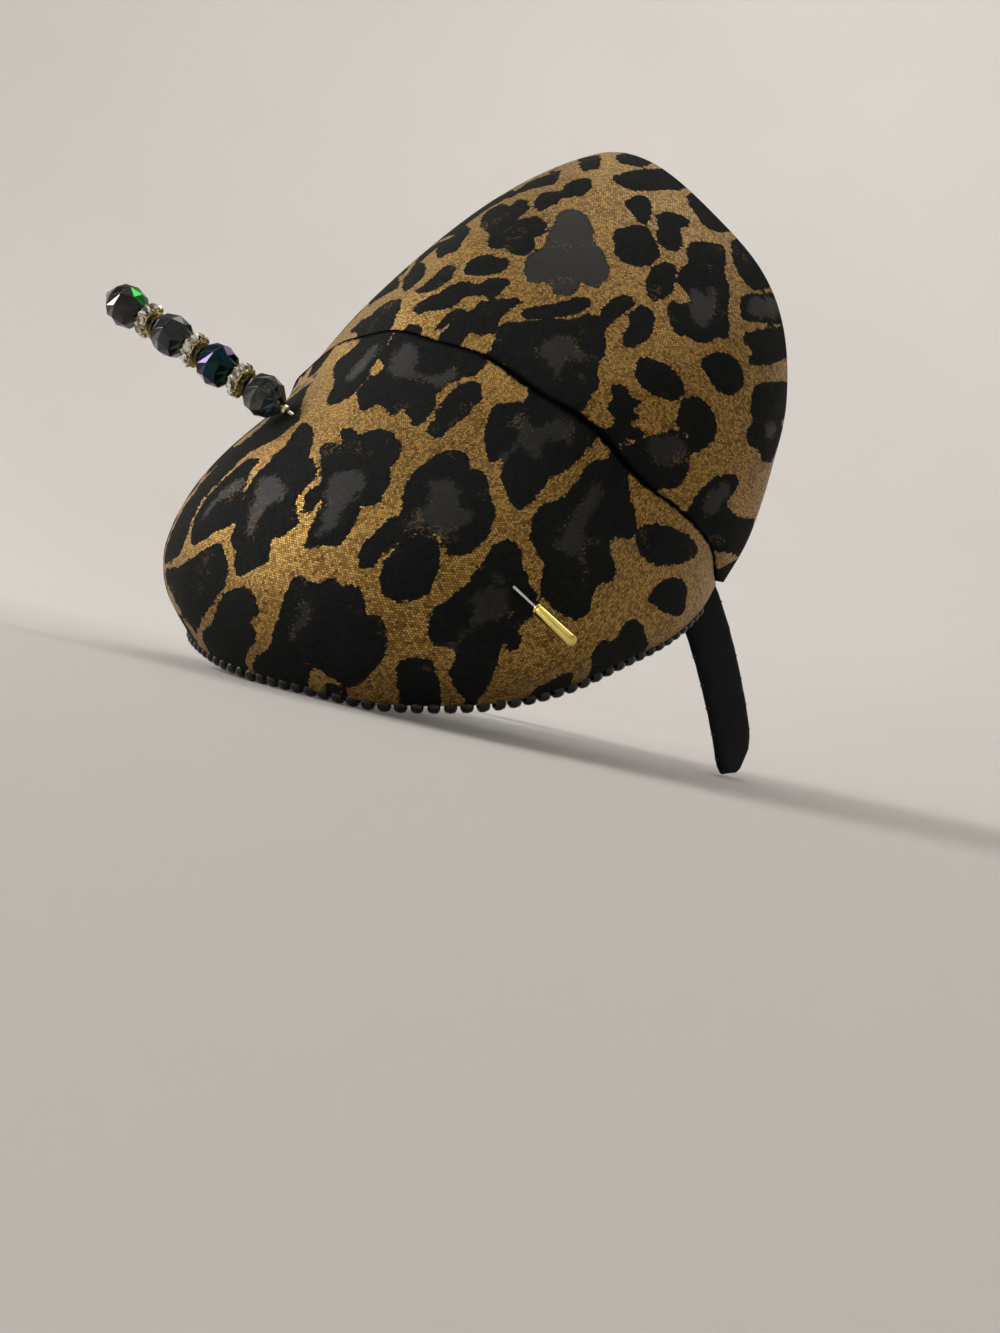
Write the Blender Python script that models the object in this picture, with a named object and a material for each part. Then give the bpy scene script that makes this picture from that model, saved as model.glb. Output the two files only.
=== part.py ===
"""A leopard brocade percher hat on a covered headband, with a beaded hat pin.

The hat is modelled as it sits on a head (+Z up, front towards -Y) and is then
tipped forward by rest_pose, so that it stands on the tips of its headband and
on the beaded front edge. Lengths in the tables are millimetres.
"""

import math
from collections import namedtuple

import bmesh
import bpy
from mathutils import Matrix, Vector

MM = 0.001
GAP = 0.3

# The hat's sections run from its middle out to the corner over the left ear.
# rim: beaded front edge, seam: where the two covered forms meet, back: free
# back edge. The bulges are how far each form stands out from its flat chord.
Section = namedtuple("Section", "rim seam back front_bulge back_bulge")
HALF_SECTIONS = (
    Section((0, -90, 42), (0, -43, 130), (0, 40, 187), 18.0, 7.0),
    Section((22, -87, 42), (14, -42, 128), (17, 40, 183), 19.0, 7.0),
    Section((42, -78, 42), (29, -39, 125), (38, 40, 170), 18.5, 7.0),
    Section((57, -62, 43), (44, -37, 118), (57, 40, 154), 16.0, 7.0),
    Section((65, -43, 46), (58, -32, 111), (67, 40, 138), 11.0, 7.0),
    Section((69, -24, 51), (67, -22, 99), (71, 40, 118), 6.5, 6.0),
    Section((70, -5, 55), (71, -6, 90), (69, 40, 100), 4.0, 5.0),
    Section((67, 13, 60), (69, 12, 80), (65, 39, 82), 2.0, 3.5),
    Section((61, 30, 65), (62, 28, 68), (60, 36, 66), 0.5, 1.5),
)
WALL = 2.4
SEAM_SETBACK = 1.2      # the back form starts this far behind the front's edge
FRONT_SKEW = 0.9        # moves the front form's fullest point down to its rim
BULGE_POWER = 2.4
SECTION_STEPS = 4       # faces between two sections
CHORD_STEPS = 11        # faces from edge to edge

# The hat leans on the headband about its two corners.
HAT_PIVOT = (0, 33, 62)
HAT_ROLL = 5.0
HAT_YAW = 2.0

# Headband: a covered arch that leans back towards its tips.
BAND_WIDTH = 18.0
BAND_THICK = 3.0
BAND_HALF_SPAN = 62.5   # to the outer face
BAND_CROWN = 121.0      # height of the outer face over the tips
BAND_LEAN = 23.0
BAND_TIP = (0, 51.5, 0)
BAND_TIP_ANGLE = -16.0  # the arch turns in below its widest place
BAND_SQUARENESS = 2.3
BAND_STEPS = 44
BAND_EDGE = 1.1         # radius of its long edges

# Beaded edge, one tube along the front rim.
EDGE_RADIUS = 1.8
EDGE_INWARD = WALL + 1.5
EDGE_DROP = 1.5
EDGE_START = 0.8        # in sections from the corner

# Hat pin, in the frame of the hat before it leans.
PIN_ENTRY = (-17.7, -63.2, 106.2)
PIN_EXIT = (64, -61.5, 74.5)
BEAD_DIRECTION = (-0.836, -0.346, 0.424)
CLUTCH_DIRECTION = (0.90, 0.0, -0.43)
PIN_RADIUS = 0.45
PIN_BORE = PIN_RADIUS + GAP
PIN_HEAD_RADIUS = 1.1
PIN_HEAD_LENGTH = 0.7
STOP_RADIUS = 1.3
STOP_OFFSET = 2.2       # from the entry to the stop bead's centre
BEAD_RADIUS = 6.0
BEAD_SIDES = 10
BEAD_OFFSET = 9.6       # from the entry to the first crystal's centre
RONDELLE_LENGTH = 3.5
RONDELLE_RADIUS = 3.9   # to the wall that the stones sit in
STONE_COUNT = 9
STONE_RADIUS = 1.3
STONE_STAND = 1.0       # how far each stone stands out of the wall
BEAD_PITCH = 2 * BEAD_RADIUS + RONDELLE_LENGTH + 2 * GAP
SHAFT_OUT = 8.4         # bare pin between the hat and the clutch
CLUTCH_LENGTH = 13.0
CLUTCH_RADIUS = 1.5
CLUTCH_BORE_DEPTH = 9.0

# How the worn hat is turned to stand by itself on a table.
REST_PITCH = 17.3
REST_ROLL = -0.05

MATERIALS = {
    "bronze_leopard_brocade": ((0.20, 0.11, 0.04), 0.55, 0.25),
    "black_band_cloth": ((0.014, 0.014, 0.016), 0.85, 0.0),
    "dark_glass_beads": ((0.02, 0.014, 0.012), 0.15, 0.0),
    "smoke_crystal": ((0.08, 0.09, 0.10), 0.05, 0.0),
    "rhinestone_setting": ((0.80, 0.76, 0.62), 0.15, 0.8),
    "pin_steel": ((0.62, 0.62, 0.60), 0.20, 1.0),
    "pale_gold": ((0.86, 0.72, 0.38), 0.22, 1.0),
}


def clear_scene():
    for obj in list(bpy.data.objects):
        bpy.data.objects.remove(obj, do_unlink=True)


def make_material(name):
    colour, roughness, metallic = MATERIALS[name]
    material = bpy.data.materials.new(name)
    material.use_nodes = True
    shader = material.node_tree.nodes["Principled BSDF"]
    shader.inputs["Base Color"].default_value = (*colour, 1.0)
    shader.inputs["Roughness"].default_value = roughness
    shader.inputs["Metallic"].default_value = metallic
    material.diffuse_color = (*colour, 1.0)
    return material


def add_empty(name, location, rotation, parent=None):
    empty = bpy.data.objects.new(name, None)
    empty.location = Vector(location) * MM
    empty.rotation_euler = [math.radians(angle) for angle in rotation]
    empty.parent = parent
    bpy.context.collection.objects.link(empty)
    return empty


def add_object(name, data, material, parent):
    obj = bpy.data.objects.new(name, data)
    bpy.context.collection.objects.link(obj)
    if material:
        data.materials.append(material)
    obj.parent = parent
    return obj


def mesh_from(name, verts, faces):
    """A mesh from millimetre points, with its faces turned outwards."""
    mesh = bpy.data.meshes.new(name)
    mesh.from_pydata([Vector(v) * MM for v in verts], [], faces)
    bm = bmesh.new()
    bm.from_mesh(mesh)
    bmesh.ops.recalc_face_normals(bm, faces=bm.faces)
    bm.to_mesh(mesh)
    bm.free()
    return mesh


def smooth_row(rows, position):
    """The Catmull-Rom value at a position counted in rows."""
    last = len(rows) - 1
    index = min(max(int(math.floor(position)), 0), last - 1)
    t = position - index
    p1 = Vector(rows[index])
    p2 = Vector(rows[index + 1])
    p0 = Vector(rows[index - 1]) if index > 0 else 2 * p1 - p2
    p3 = Vector(rows[index + 2]) if index + 2 <= last else 2 * p2 - p1
    return 0.5 * (
        2 * p1
        + (p2 - p0) * t
        + (2 * p0 - 5 * p1 + 4 * p2 - p3) * t ** 2
        + (3 * p1 - p0 - 3 * p2 + p3) * t ** 3
    )


def full_sections():
    """The half sections mirrored, from the right corner to the left corner."""
    def mirrored(section):
        rim, seam, back = (
            (-point[0], point[1], point[2])
            for point in (section.rim, section.seam, section.back)
        )
        return Section(rim, seam, back, section.front_bulge, section.back_bulge)

    return [mirrored(s) for s in reversed(HALF_SECTIONS[1:])] + list(HALF_SECTIONS)


def bulge_share(along, skew):
    """0 at both edges and 1 at the fullest place of a form."""
    moved = along + skew * along * (1 - along)
    return 1 - abs(2 * moved - 1) ** BULGE_POWER


def sheet(first_edge, second_edge, bulges, skew, steps_along):
    """Outer points of a covered form, as rows of points from edge to edge."""
    last = len(first_edge) - 1
    small = 0.01
    rows = []
    for i in range(steps_along + 1):
        place = last * i / steps_along
        start = smooth_row(first_edge, place)
        end = smooth_row(second_edge, place)
        bulge = smooth_row([(b, 0, 0) for b in bulges], place).x
        before = max(place - small, 0)
        after = min(place + small, last)
        along = (
            smooth_row(first_edge, after) + smooth_row(second_edge, after)
            - smooth_row(first_edge, before) - smooth_row(second_edge, before)
        )
        out = along.cross(end - start).normalized()
        rows.append([
            start.lerp(end, j / CHORD_STEPS)
            + out * bulge * bulge_share(j / CHORD_STEPS, skew)
            for j in range(CHORD_STEPS + 1)
        ])
    return rows


def row_normal(rows, i, j):
    """Outward normal of a sheet at one of its points."""
    before = rows[max(i - 1, 0)][j]
    after = rows[min(i + 1, len(rows) - 1)][j]
    low = rows[i][max(j - 1, 0)]
    high = rows[i][min(j + 1, len(rows[i]) - 1)]
    return (after - before).cross(high - low).normalized()


def shell_mesh(name, rows):
    """A closed wall under the outer points, WALL thick."""
    count_i = len(rows)
    count_j = len(rows[0])
    outer = [point for row in rows for point in row]
    inner = [
        rows[i][j] - row_normal(rows, i, j) * WALL
        for i in range(count_i) for j in range(count_j)
    ]
    offset = len(outer)

    def at(i, j):
        return i * count_j + j

    faces = []
    for i in range(count_i - 1):
        for j in range(count_j - 1):
            quad = (at(i, j), at(i + 1, j), at(i + 1, j + 1), at(i, j + 1))
            faces.append(quad)
            faces.append(tuple(offset + k for k in reversed(quad)))
    border = [at(i, 0) for i in range(count_i)]
    border += [at(count_i - 1, j) for j in range(1, count_j)]
    border += [at(i, count_j - 1) for i in range(count_i - 2, -1, -1)]
    border += [at(0, j) for j in range(count_j - 2, 0, -1)]
    for a, b in zip(border, border[1:] + border[:1]):
        faces.append((a, offset + a, offset + b, b))
    return mesh_from(name, outer + inner, faces)


def front_rows():
    sections = full_sections()
    steps = SECTION_STEPS * (len(sections) - 1)
    return sheet(
        [s.rim for s in sections], [s.seam for s in sections],
        [s.front_bulge for s in sections], FRONT_SKEW, steps,
    )


def back_rows(front):
    """The back form starts behind the front form's edge and lower than its wall."""
    sections = full_sections()
    steps = SECTION_STEPS * (len(sections) - 1)
    rows = sheet(
        [s.seam for s in sections], [s.back for s in sections],
        [s.back_bulge for s in sections], 0.0, steps,
    )
    last = CHORD_STEPS
    for i, row in enumerate(rows):
        behind = (front[i][last] - front[i][last - 1]).normalized() * SEAM_SETBACK
        shift = behind - row_normal(front, i, last) * (WALL + GAP)
        for j in range(last + 1):
            row[j] = row[j] + shift * (1 - j / last) ** 2
    return rows


def hat_point(point):
    """A table point, from the frame of the hat's pivot."""
    return Vector(point) - Vector(HAT_PIVOT)


def pin_path():
    """Straight through the beads, then a light bow through the hat."""
    entry = hat_point(PIN_ENTRY)
    leave = hat_point(PIN_EXIT)
    outward = Vector(BEAD_DIRECTION).normalized()
    forward = Vector(CLUTCH_DIRECTION).normalized()
    head = entry + outward * (BEAD_OFFSET + 3 * BEAD_PITCH + BEAD_RADIUS + GAP)
    points = [head, entry]
    steps = 10
    span = (leave - entry).length
    for k in range(1, steps + 1):
        t = k / steps
        points.append(
            entry * (2 * t ** 3 - 3 * t ** 2 + 1)
            - outward * span * (t ** 3 - 2 * t ** 2 + t)
            + leave * (3 * t ** 2 - 2 * t ** 3)
            + forward * span * (t ** 3 - t ** 2)
        )
    points.append(leave + forward * (SHAFT_OUT + CLUTCH_BORE_DEPTH - GAP))
    return points


def tube_mesh(name, points, radii, sides):
    """A round bar through the points with a radius at each, flat at its ends."""
    verts = []
    faces = []
    up = Vector((0, 0, 1))
    for k, point in enumerate(points):
        ahead = points[min(k + 1, len(points) - 1)]
        behind = points[max(k - 1, 0)]
        tangent = (ahead - behind).normalized()
        side = tangent.cross(up).normalized()
        lift = side.cross(tangent)
        for s in range(sides):
            angle = 2 * math.pi * s / sides
            ring = side * math.cos(angle) + lift * math.sin(angle)
            verts.append(point + ring * radii[k])
    for k in range(len(points) - 1):
        for s in range(sides):
            n = (s + 1) % sides
            a = k * sides
            b = a + sides
            faces.append((a + s, a + n, b + n, b + s))
    faces.append(tuple(range(sides)))
    faces.append(tuple(range(len(verts) - sides, len(verts))))
    return mesh_from(name, verts, faces)


def frame_along(direction, origin):
    """A matrix whose +Z runs along direction and whose origin is given in mm."""
    turn = Vector(direction).to_track_quat("Z", "Y").to_matrix().to_4x4()
    return Matrix.Translation(Vector(origin) * MM) @ turn


def turned_mesh(name, profile, sides):
    """A lathe shape on +Z from (radius, height) pairs; a 0 radius is a pole."""
    verts = []
    rings = []
    for radius, height in profile:
        if radius == 0:
            rings.append([len(verts)])
            verts.append((0, 0, height))
        else:
            rings.append(list(range(len(verts), len(verts) + sides)))
            verts += [
                (radius * math.cos(2 * math.pi * s / sides),
                 radius * math.sin(2 * math.pi * s / sides), height)
                for s in range(sides)
            ]
    faces = []
    for low, high in zip(rings[:-1], rings[1:]):
        for s in range(sides):
            n = (s + 1) % sides
            quad = [low[s % len(low)], low[n % len(low)],
                    high[n % len(high)], high[s % len(high)]]
            face = list(dict.fromkeys(quad))
            if len(face) > 2:
                faces.append(face)
    for ring in (rings[0], rings[-1]):
        if len(ring) > 1:
            faces.append(ring)
    return mesh_from(name, verts, faces)


def cut_with(obj, cutter):
    cutter.hide_render = True
    cutter.display_type = "WIRE"
    boolean = obj.modifiers.new("cut_" + cutter.name, "BOOLEAN")
    boolean.operation = "DIFFERENCE"
    boolean.solver = "EXACT"
    boolean.object = cutter


def make_hat(parent, cloth):
    front = front_rows()
    back = back_rows(front)
    for rows in (front, back):
        for row in rows:
            row[:] = [hat_point(point) for point in row]
    cap = add_object("front_cap", shell_mesh("front_cap", front), cloth, parent)
    lobe = add_object("back_lobe", shell_mesh("back_lobe", back), cloth, parent)
    for obj in (cap, lobe):
        obj.data.shade_smooth()
        obj.data.set_sharp_from_angle(angle=math.radians(50))
    return cap, lobe, front


def make_edging(front, parent, glass):
    """A tube for the beads sewn along the inside of the front form's edge."""
    curve = bpy.data.curves.new("bead_edging", "CURVE")
    curve.dimensions = "3D"
    curve.bevel_depth = EDGE_RADIUS * MM
    curve.bevel_resolution = 2
    curve.use_fill_caps = True
    first = round(EDGE_START * SECTION_STEPS)
    route = []
    for i in range(first, len(front) - first):
        inward = row_normal(front, i, 0)
        down = (front[i][0] - front[i][1]).normalized()
        route.append(front[i][0] - inward * EDGE_INWARD + down * EDGE_DROP)
    spline = curve.splines.new("POLY")
    spline.points.add(len(route) - 1)
    for point, place in zip(spline.points, route):
        point.co = (*(place * MM), 1.0)
    return add_object("bead_edging", curve, glass, parent)


def band_section():
    """Half-round edged strip: (along its width, through its thickness)."""
    half_w = BAND_WIDTH / 2
    half_t = BAND_THICK / 2
    points = []
    for sx, sy, start in ((1, 1, 0), (-1, 1, 90), (-1, -1, 180), (1, -1, 270)):
        for step in (0, 45, 90):
            angle = math.radians(start + step)
            points.append((
                sx * (half_w - BAND_EDGE) + BAND_EDGE * math.cos(angle),
                sy * (half_t - BAND_EDGE) + BAND_EDGE * math.sin(angle),
            ))
    return points


def make_headband(parent, cloth):
    """The arch lies in its own leaning plane, with round tips."""
    half_span = BAND_HALF_SPAN - BAND_THICK / 2
    crown = BAND_CROWN - BAND_THICK / 2
    tip = math.radians(BAND_TIP_ANGLE)
    rise = math.copysign(abs(math.sin(tip)) ** (2 / BAND_SQUARENESS), math.sin(tip))
    height = crown / (1 - rise)
    base = -height * rise
    section = band_section()
    verts = []
    centres = []
    for k in range(BAND_STEPS + 1):
        angle = tip + (math.pi - 2 * tip) * k / BAND_STEPS
        x = half_span * math.copysign(
            abs(math.cos(angle)) ** (2 / BAND_SQUARENESS), math.cos(angle))
        y = base + height * math.copysign(
            abs(math.sin(angle)) ** (2 / BAND_SQUARENESS), math.sin(angle))
        centres.append(Vector((x, 0, y)))
    for k, centre in enumerate(centres):
        ahead = centres[min(k + 1, BAND_STEPS)]
        behind = centres[max(k - 1, 0)]
        tangent = (ahead - behind).normalized()
        out = Vector((tangent.z, 0, -tangent.x))
        from_tip = min(
            sum((centres[m + 1] - centres[m]).length for m in range(k)),
            sum((centres[m + 1] - centres[m]).length for m in range(k, BAND_STEPS)),
        )
        reach = min(from_tip / (BAND_WIDTH / 2), 1.0)
        narrow = 0.45 + 0.55 * math.sqrt(1 - (1 - reach) ** 2)
        for across, through in section:
            verts.append(centre + Vector((0, across * narrow, 0)) + out * through)
    sides = len(section)
    faces = [tuple(range(sides)), tuple(range(len(verts) - sides, len(verts)))]
    for k in range(BAND_STEPS):
        for s in range(sides):
            n = (s + 1) % sides
            a = k * sides
            b = a + sides
            faces.append((a + s, a + n, b + n, b + s))
    band = add_object("headband", mesh_from("headband", verts, faces), cloth, parent)
    band.location = Vector(BAND_TIP) * MM
    band.rotation_euler = (math.radians(BAND_LEAN), 0, 0)
    band.data.shade_smooth()
    band.data.set_sharp_from_angle(angle=math.radians(50))
    return band


def crystal_mesh(name):
    """A round bead cut in flat facets, drilled for the pin."""
    rings = 6
    profile = [(PIN_BORE, -BEAD_RADIUS * 0.97)]
    for k in range(1, rings):
        angle = math.pi * k / rings
        profile.append((BEAD_RADIUS * math.sin(angle), -BEAD_RADIUS * math.cos(angle)))
    profile.append((PIN_BORE, BEAD_RADIUS * 0.97))
    return ring_mesh(name, profile, BEAD_SIDES, twist=True)


def ring_mesh(name, profile, sides, twist=False):
    """A lathe shape with a hole: the first and last pairs lie on the bore."""
    verts = []
    for k, (radius, height) in enumerate(profile):
        bore = k in (0, len(profile) - 1)
        half = 0.5 * (k % 2) if twist and not bore else 0.0
        for s in range(sides):
            angle = 2 * math.pi * (s + half) / sides
            verts.append((radius * math.cos(angle), radius * math.sin(angle), height))
    faces = []
    count = len(profile)
    for k in range(count):
        for s in range(sides):
            n = (s + 1) % sides
            a = k * sides
            b = ((k + 1) % count) * sides
            half_a = twist and k not in (0, count - 1) and k % 2
            half_b = twist and (k + 1) % count not in (0, count - 1) and (k + 1) % 2
            if half_a and not half_b:
                faces.append((a + s, a + n, b + n))
                faces.append((a + s, b + n, b + s))
            elif half_b and not half_a:
                faces.append((a + s, a + n, b + s))
                faces.append((a + n, b + n, b + s))
            else:
                faces.append((a + s, a + n, b + n, b + s))
    return mesh_from(name, verts, faces)


def stone_verts_faces():
    """A cut stone on +Z: table, eight crown facets, girdle and a short base."""
    rings = (
        (STONE_RADIUS * 0.55, STONE_STAND),
        (STONE_RADIUS, STONE_STAND * 0.5),
        (STONE_RADIUS * 0.92, -0.6),
    )
    verts = []
    for radius, height in rings:
        verts += [
            (radius * math.cos(math.pi * s / 4), radius * math.sin(math.pi * s / 4), height)
            for s in range(8)
        ]
    faces = [tuple(range(8)), tuple(range(16, 24))]
    for ring in (0, 8):
        for s in range(8):
            n = (s + 1) % 8
            faces.append((ring + s, ring + n, ring + 8 + n, ring + 8 + s))
    return verts, faces


def make_rondelle(name, material, parent):
    """A drilled metal ring with its stones fused round its wall."""
    half = RONDELLE_LENGTH / 2
    profile = [
        (PIN_BORE, -half), (RONDELLE_RADIUS - 0.6, -half), (RONDELLE_RADIUS, -half + 0.6),
        (RONDELLE_RADIUS, half - 0.6), (RONDELLE_RADIUS - 0.6, half), (PIN_BORE, half),
    ]
    ring = add_object(name, ring_mesh(name, profile, 18), material, parent)
    verts, faces = stone_verts_faces()
    all_verts = []
    all_faces = []
    for k in range(STONE_COUNT):
        turn = Matrix.Rotation(2 * math.pi * k / STONE_COUNT, 4, "Z")
        place = turn @ Matrix.Translation((RONDELLE_RADIUS, 0, 0))
        place = place @ Matrix.Rotation(math.pi / 2, 4, "Y")
        start = len(all_verts)
        all_verts += [place @ Vector(v) for v in verts]
        all_faces += [tuple(start + i for i in face) for face in faces]
    stones = add_object(name + "_stones", mesh_from(name + "_stones", all_verts, all_faces),
                        None, ring)
    stones.hide_render = True
    stones.display_type = "WIRE"
    union = ring.modifiers.new("stones", "BOOLEAN")
    union.operation = "UNION"
    union.solver = "EXACT"
    union.use_self = True
    union.object = stones
    return ring


def make_pin(parent, looks, cap):
    path = pin_path()
    outward = Vector(BEAD_DIRECTION).normalized()
    forward = Vector(CLUTCH_DIRECTION).normalized()
    entry = hat_point(PIN_ENTRY)
    leave = hat_point(PIN_EXIT)

    head = [path[0] + outward * PIN_HEAD_LENGTH, path[0]]
    radii = [PIN_HEAD_RADIUS] * 2 + [PIN_RADIUS] * (len(path) - 1) + [PIN_RADIUS * 0.3]
    shaft_points = head + [path[0] - outward * 0.05] + path[1:]
    add_object("pin_shaft", tube_mesh("pin_shaft", shaft_points, radii, 8),
               looks["pin_steel"], parent)

    bore_path = [entry + outward * 8] + path[1:-1] + [leave + forward * 6]
    bore = add_object("pin_bore", tube_mesh("pin_bore", bore_path,
                                            [PIN_BORE] * len(bore_path), 8), None, parent)
    cut_with(cap, bore)

    stop = ring_mesh("pin_stop_bead", [
        (PIN_BORE, -STOP_RADIUS * 0.72), (STOP_RADIUS, -STOP_RADIUS * 0.35),
        (STOP_RADIUS, STOP_RADIUS * 0.35), (PIN_BORE, STOP_RADIUS * 0.72)], 12)
    stop_bead = add_object("pin_stop_bead", stop, looks["pale_gold"], parent)
    stop_bead.matrix_local = frame_along(outward, entry + outward * STOP_OFFSET)

    for k in range(4):
        name = f"crystal_bead_{k + 1}"
        crystal = add_object(name, crystal_mesh(name), looks["smoke_crystal"], parent)
        place = entry + outward * (BEAD_OFFSET + (3 - k) * BEAD_PITCH)
        crystal.matrix_local = frame_along(outward, place)
    for k in range(3):
        rondelle = make_rondelle(f"rhinestone_rondelle_{k + 1}",
                                 looks["rhinestone_setting"], parent)
        place = entry + outward * (BEAD_OFFSET + (2.5 - k) * BEAD_PITCH)
        rondelle.matrix_local = frame_along(outward, place)

    profile = [
        (PIN_BORE, 0), (CLUTCH_RADIUS * 0.8, 0), (CLUTCH_RADIUS, 0.4),
        (CLUTCH_RADIUS, CLUTCH_LENGTH - CLUTCH_RADIUS),
    ]
    for step in (30, 60, 80):
        angle = math.radians(step)
        profile.append((CLUTCH_RADIUS * math.cos(angle),
                        CLUTCH_LENGTH - CLUTCH_RADIUS * (1 - math.sin(angle))))
    profile.append((0, CLUTCH_LENGTH))
    inside = [(PIN_BORE, 0), (PIN_BORE, CLUTCH_BORE_DEPTH), (0, CLUTCH_BORE_DEPTH + 0.4)]
    clutch = add_object("pin_clutch", clutch_mesh(profile, inside), looks["pale_gold"], parent)
    clutch.matrix_local = frame_along(forward, leave + forward * SHAFT_OUT)
    for obj in (stop_bead, clutch):
        obj.data.shade_smooth()
        obj.data.set_sharp_from_angle(angle=math.radians(40))


def clutch_mesh(outside, inside):
    """A blind tube: the outside from its mouth to its round end, and the bore."""
    return turned_mesh("pin_clutch", list(reversed(inside)) + outside[1:], 12)


def world_box():
    """Two opposite corners of the box round everything, in the world."""
    bpy.context.view_layer.update()
    graph = bpy.context.evaluated_depsgraph_get()
    low = Vector((1e9, 1e9, 1e9))
    high = -low
    for obj in bpy.data.objects:
        if obj.type not in {"MESH", "CURVE"} or obj.hide_render:
            continue
        shape = obj.evaluated_get(graph)
        mesh = shape.to_mesh()
        for vertex in mesh.vertices:
            place = obj.matrix_world @ vertex.co
            low = Vector(map(min, low, place))
            high = Vector(map(max, high, place))
        shape.to_mesh_clear()
    return low, high


def main():
    clear_scene()
    looks = {name: make_material(name) for name in MATERIALS}
    rest = add_empty("rest_pose", (0, 0, 0), (REST_PITCH, REST_ROLL, 0))
    lean = add_empty("hat_lean", HAT_PIVOT, (0, HAT_ROLL, HAT_YAW), rest)
    make_headband(rest, looks["black_band_cloth"])
    cap, lobe, front = make_hat(lean, looks["bronze_leopard_brocade"])
    make_edging(front, lean, looks["dark_glass_beads"])
    make_pin(lean, looks, cap)
    low, high = world_box()
    rest.location -= Vector(((low.x + high.x) / 2, (low.y + high.y) / 2, low.z))
    bpy.context.view_layer.update()


main()
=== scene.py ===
"""Looks for the leopard brocade percher hat: cloth, beads, crystals, pin and band."""

import math
from collections import namedtuple

import bpy
import numpy as np
from mathutils import Euler, Matrix, Vector, noise
from mathutils.bvhtree import BVHTree


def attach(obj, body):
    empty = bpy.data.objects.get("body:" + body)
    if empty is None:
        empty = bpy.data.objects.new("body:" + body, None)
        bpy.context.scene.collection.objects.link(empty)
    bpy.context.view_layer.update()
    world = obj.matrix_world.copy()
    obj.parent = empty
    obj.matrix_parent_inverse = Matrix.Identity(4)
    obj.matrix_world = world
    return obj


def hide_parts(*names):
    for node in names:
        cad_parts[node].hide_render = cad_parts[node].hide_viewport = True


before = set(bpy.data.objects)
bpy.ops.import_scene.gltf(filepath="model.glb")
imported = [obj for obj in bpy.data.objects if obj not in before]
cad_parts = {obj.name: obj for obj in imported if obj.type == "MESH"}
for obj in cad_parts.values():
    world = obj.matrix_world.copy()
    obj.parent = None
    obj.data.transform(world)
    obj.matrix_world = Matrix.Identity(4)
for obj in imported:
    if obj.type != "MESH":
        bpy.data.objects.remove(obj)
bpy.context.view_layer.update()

# Lengths are in millimetres and angles in degrees, where no comment says otherwise.
MM = 0.001

# How the hat stands, and how it leans on its band, as in the part's source.
REST = Matrix.Translation(Vector((-6.976, 37.809, -12.488)) * MM) @ Euler(
    (math.radians(17.3), math.radians(-0.05), 0)).to_matrix().to_4x4()
PIVOT = Vector((0, 33, 62))
LEAN = REST @ Matrix.Translation(PIVOT * MM) @ Euler(
    (0, math.radians(5), math.radians(2))).to_matrix().to_4x4()

# Camera: where it stands from the worn hat, and its turn.
CAMERA_PLACE = Vector((250.3, -248.1, 105.4))
CAMERA_TURN = (11.9, 0.5, -44.7)
FOCAL = 1150.0          # in pixels
SENSOR = 36.0
PICTURE = (1000, 1333)

# Sections of the two covered forms, from the middle out to the left corner.
Section = namedtuple("Section", "rim seam back front_bulge back_bulge")
HALF_SECTIONS = (
    Section((0, -90, 42), (0, -43, 130), (0, 40, 187), 18.0, 7.0),
    Section((22, -87, 42), (14, -42, 128), (17, 40, 183), 19.0, 7.0),
    Section((42, -78, 42), (29, -39, 125), (38, 40, 170), 18.5, 7.0),
    Section((57, -62, 43), (44, -37, 118), (57, 40, 154), 16.0, 7.0),
    Section((65, -43, 46), (58, -32, 111), (67, 40, 138), 11.0, 7.0),
    Section((69, -24, 51), (67, -22, 99), (71, 40, 118), 6.5, 6.0),
    Section((70, -5, 55), (71, -6, 90), (69, 40, 100), 4.0, 5.0),
    Section((67, 13, 60), (69, 12, 80), (65, 39, 82), 2.0, 3.5),
    Section((61, 30, 65), (62, 28, 68), (60, 36, 66), 0.5, 1.5),
)
ALONG = 224             # steps of the fine cloth along its edges
ACROSS = 92             # and from one edge to the other
CHORD_STEPS = 11        # the solid's own steps from one edge to the other
BULGE_POWER = 2.4
FRONT_SKEW = 0.9        # moves the front form's fullest point down to its rim
WALL = 2.3
THIN_STEPS = 9          # grid steps over which the wall thins to an edge
FOLD_RADIUS = 0.60      # of the cloth where it turns over an edge
UNEVEN = 0.35           # as padding and glue move the cloth
SEAM_STEP = 2.1         # the front form's edge stands this far over the back form
SEAM_TUCK = 2.6         # the back form runs this far under that edge
BEADS_SHOW = 1.75       # of the beads below the cloth, inside the solid's outline

# Sewn seed beads.
SEED_RADIUS = 1.84      # with a little room over the floor
SEED_RING = 1.0
SEED_BODY = 0.82
SEED_STRETCH = 1.95
SEED_PITCH = 3.95

# How the charted spots lie on the cloth.
BEHIND_EDGE = 22.0      # past a form's visible edge
SPOT_DEPTH = 50.0       # more than any spot spans along the sight line
RUN_OVER = 6.0          # as a spot runs past an edge of the cloth
NEAR_RIM = 3.0          # a point closer than this runs over
NEAR_SEAM = 3.2
FAR_FIELD = 9.0         # where no spot is near
SEAM_PAINTED_SHADE = 0.9        # of painted shade along the front form's seam edge, laid as black cloth
TUCK_PAINTED_SHADE = 1.1        # and of the back form's painted shade, as black cloth beyond its tuck
SEAM_MATT = 1.5         # where no satin shows beside the seam, so that its painted shade stays black
CORNER_BLACK = 9.0      # of black cloth round each corner of the back form
VEIN_CELL = 21.0        # from one hidden spot to the next
VEIN_BEND = 4.0
VEIN_WIDTH = 1.05
CHART_SHIFT = 5         # steps that the far side's spots are moved along
JOIN_WANDER = 0.03      # of the two charts' join, as a share of facing
JOIN_SLOPE = 120        # of the field for each unit of facing
GRAIN_OVER = 0.70       # one grain of the weave along the cloth
GRAIN_DOWN = 0.58       # and from edge to edge

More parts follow.
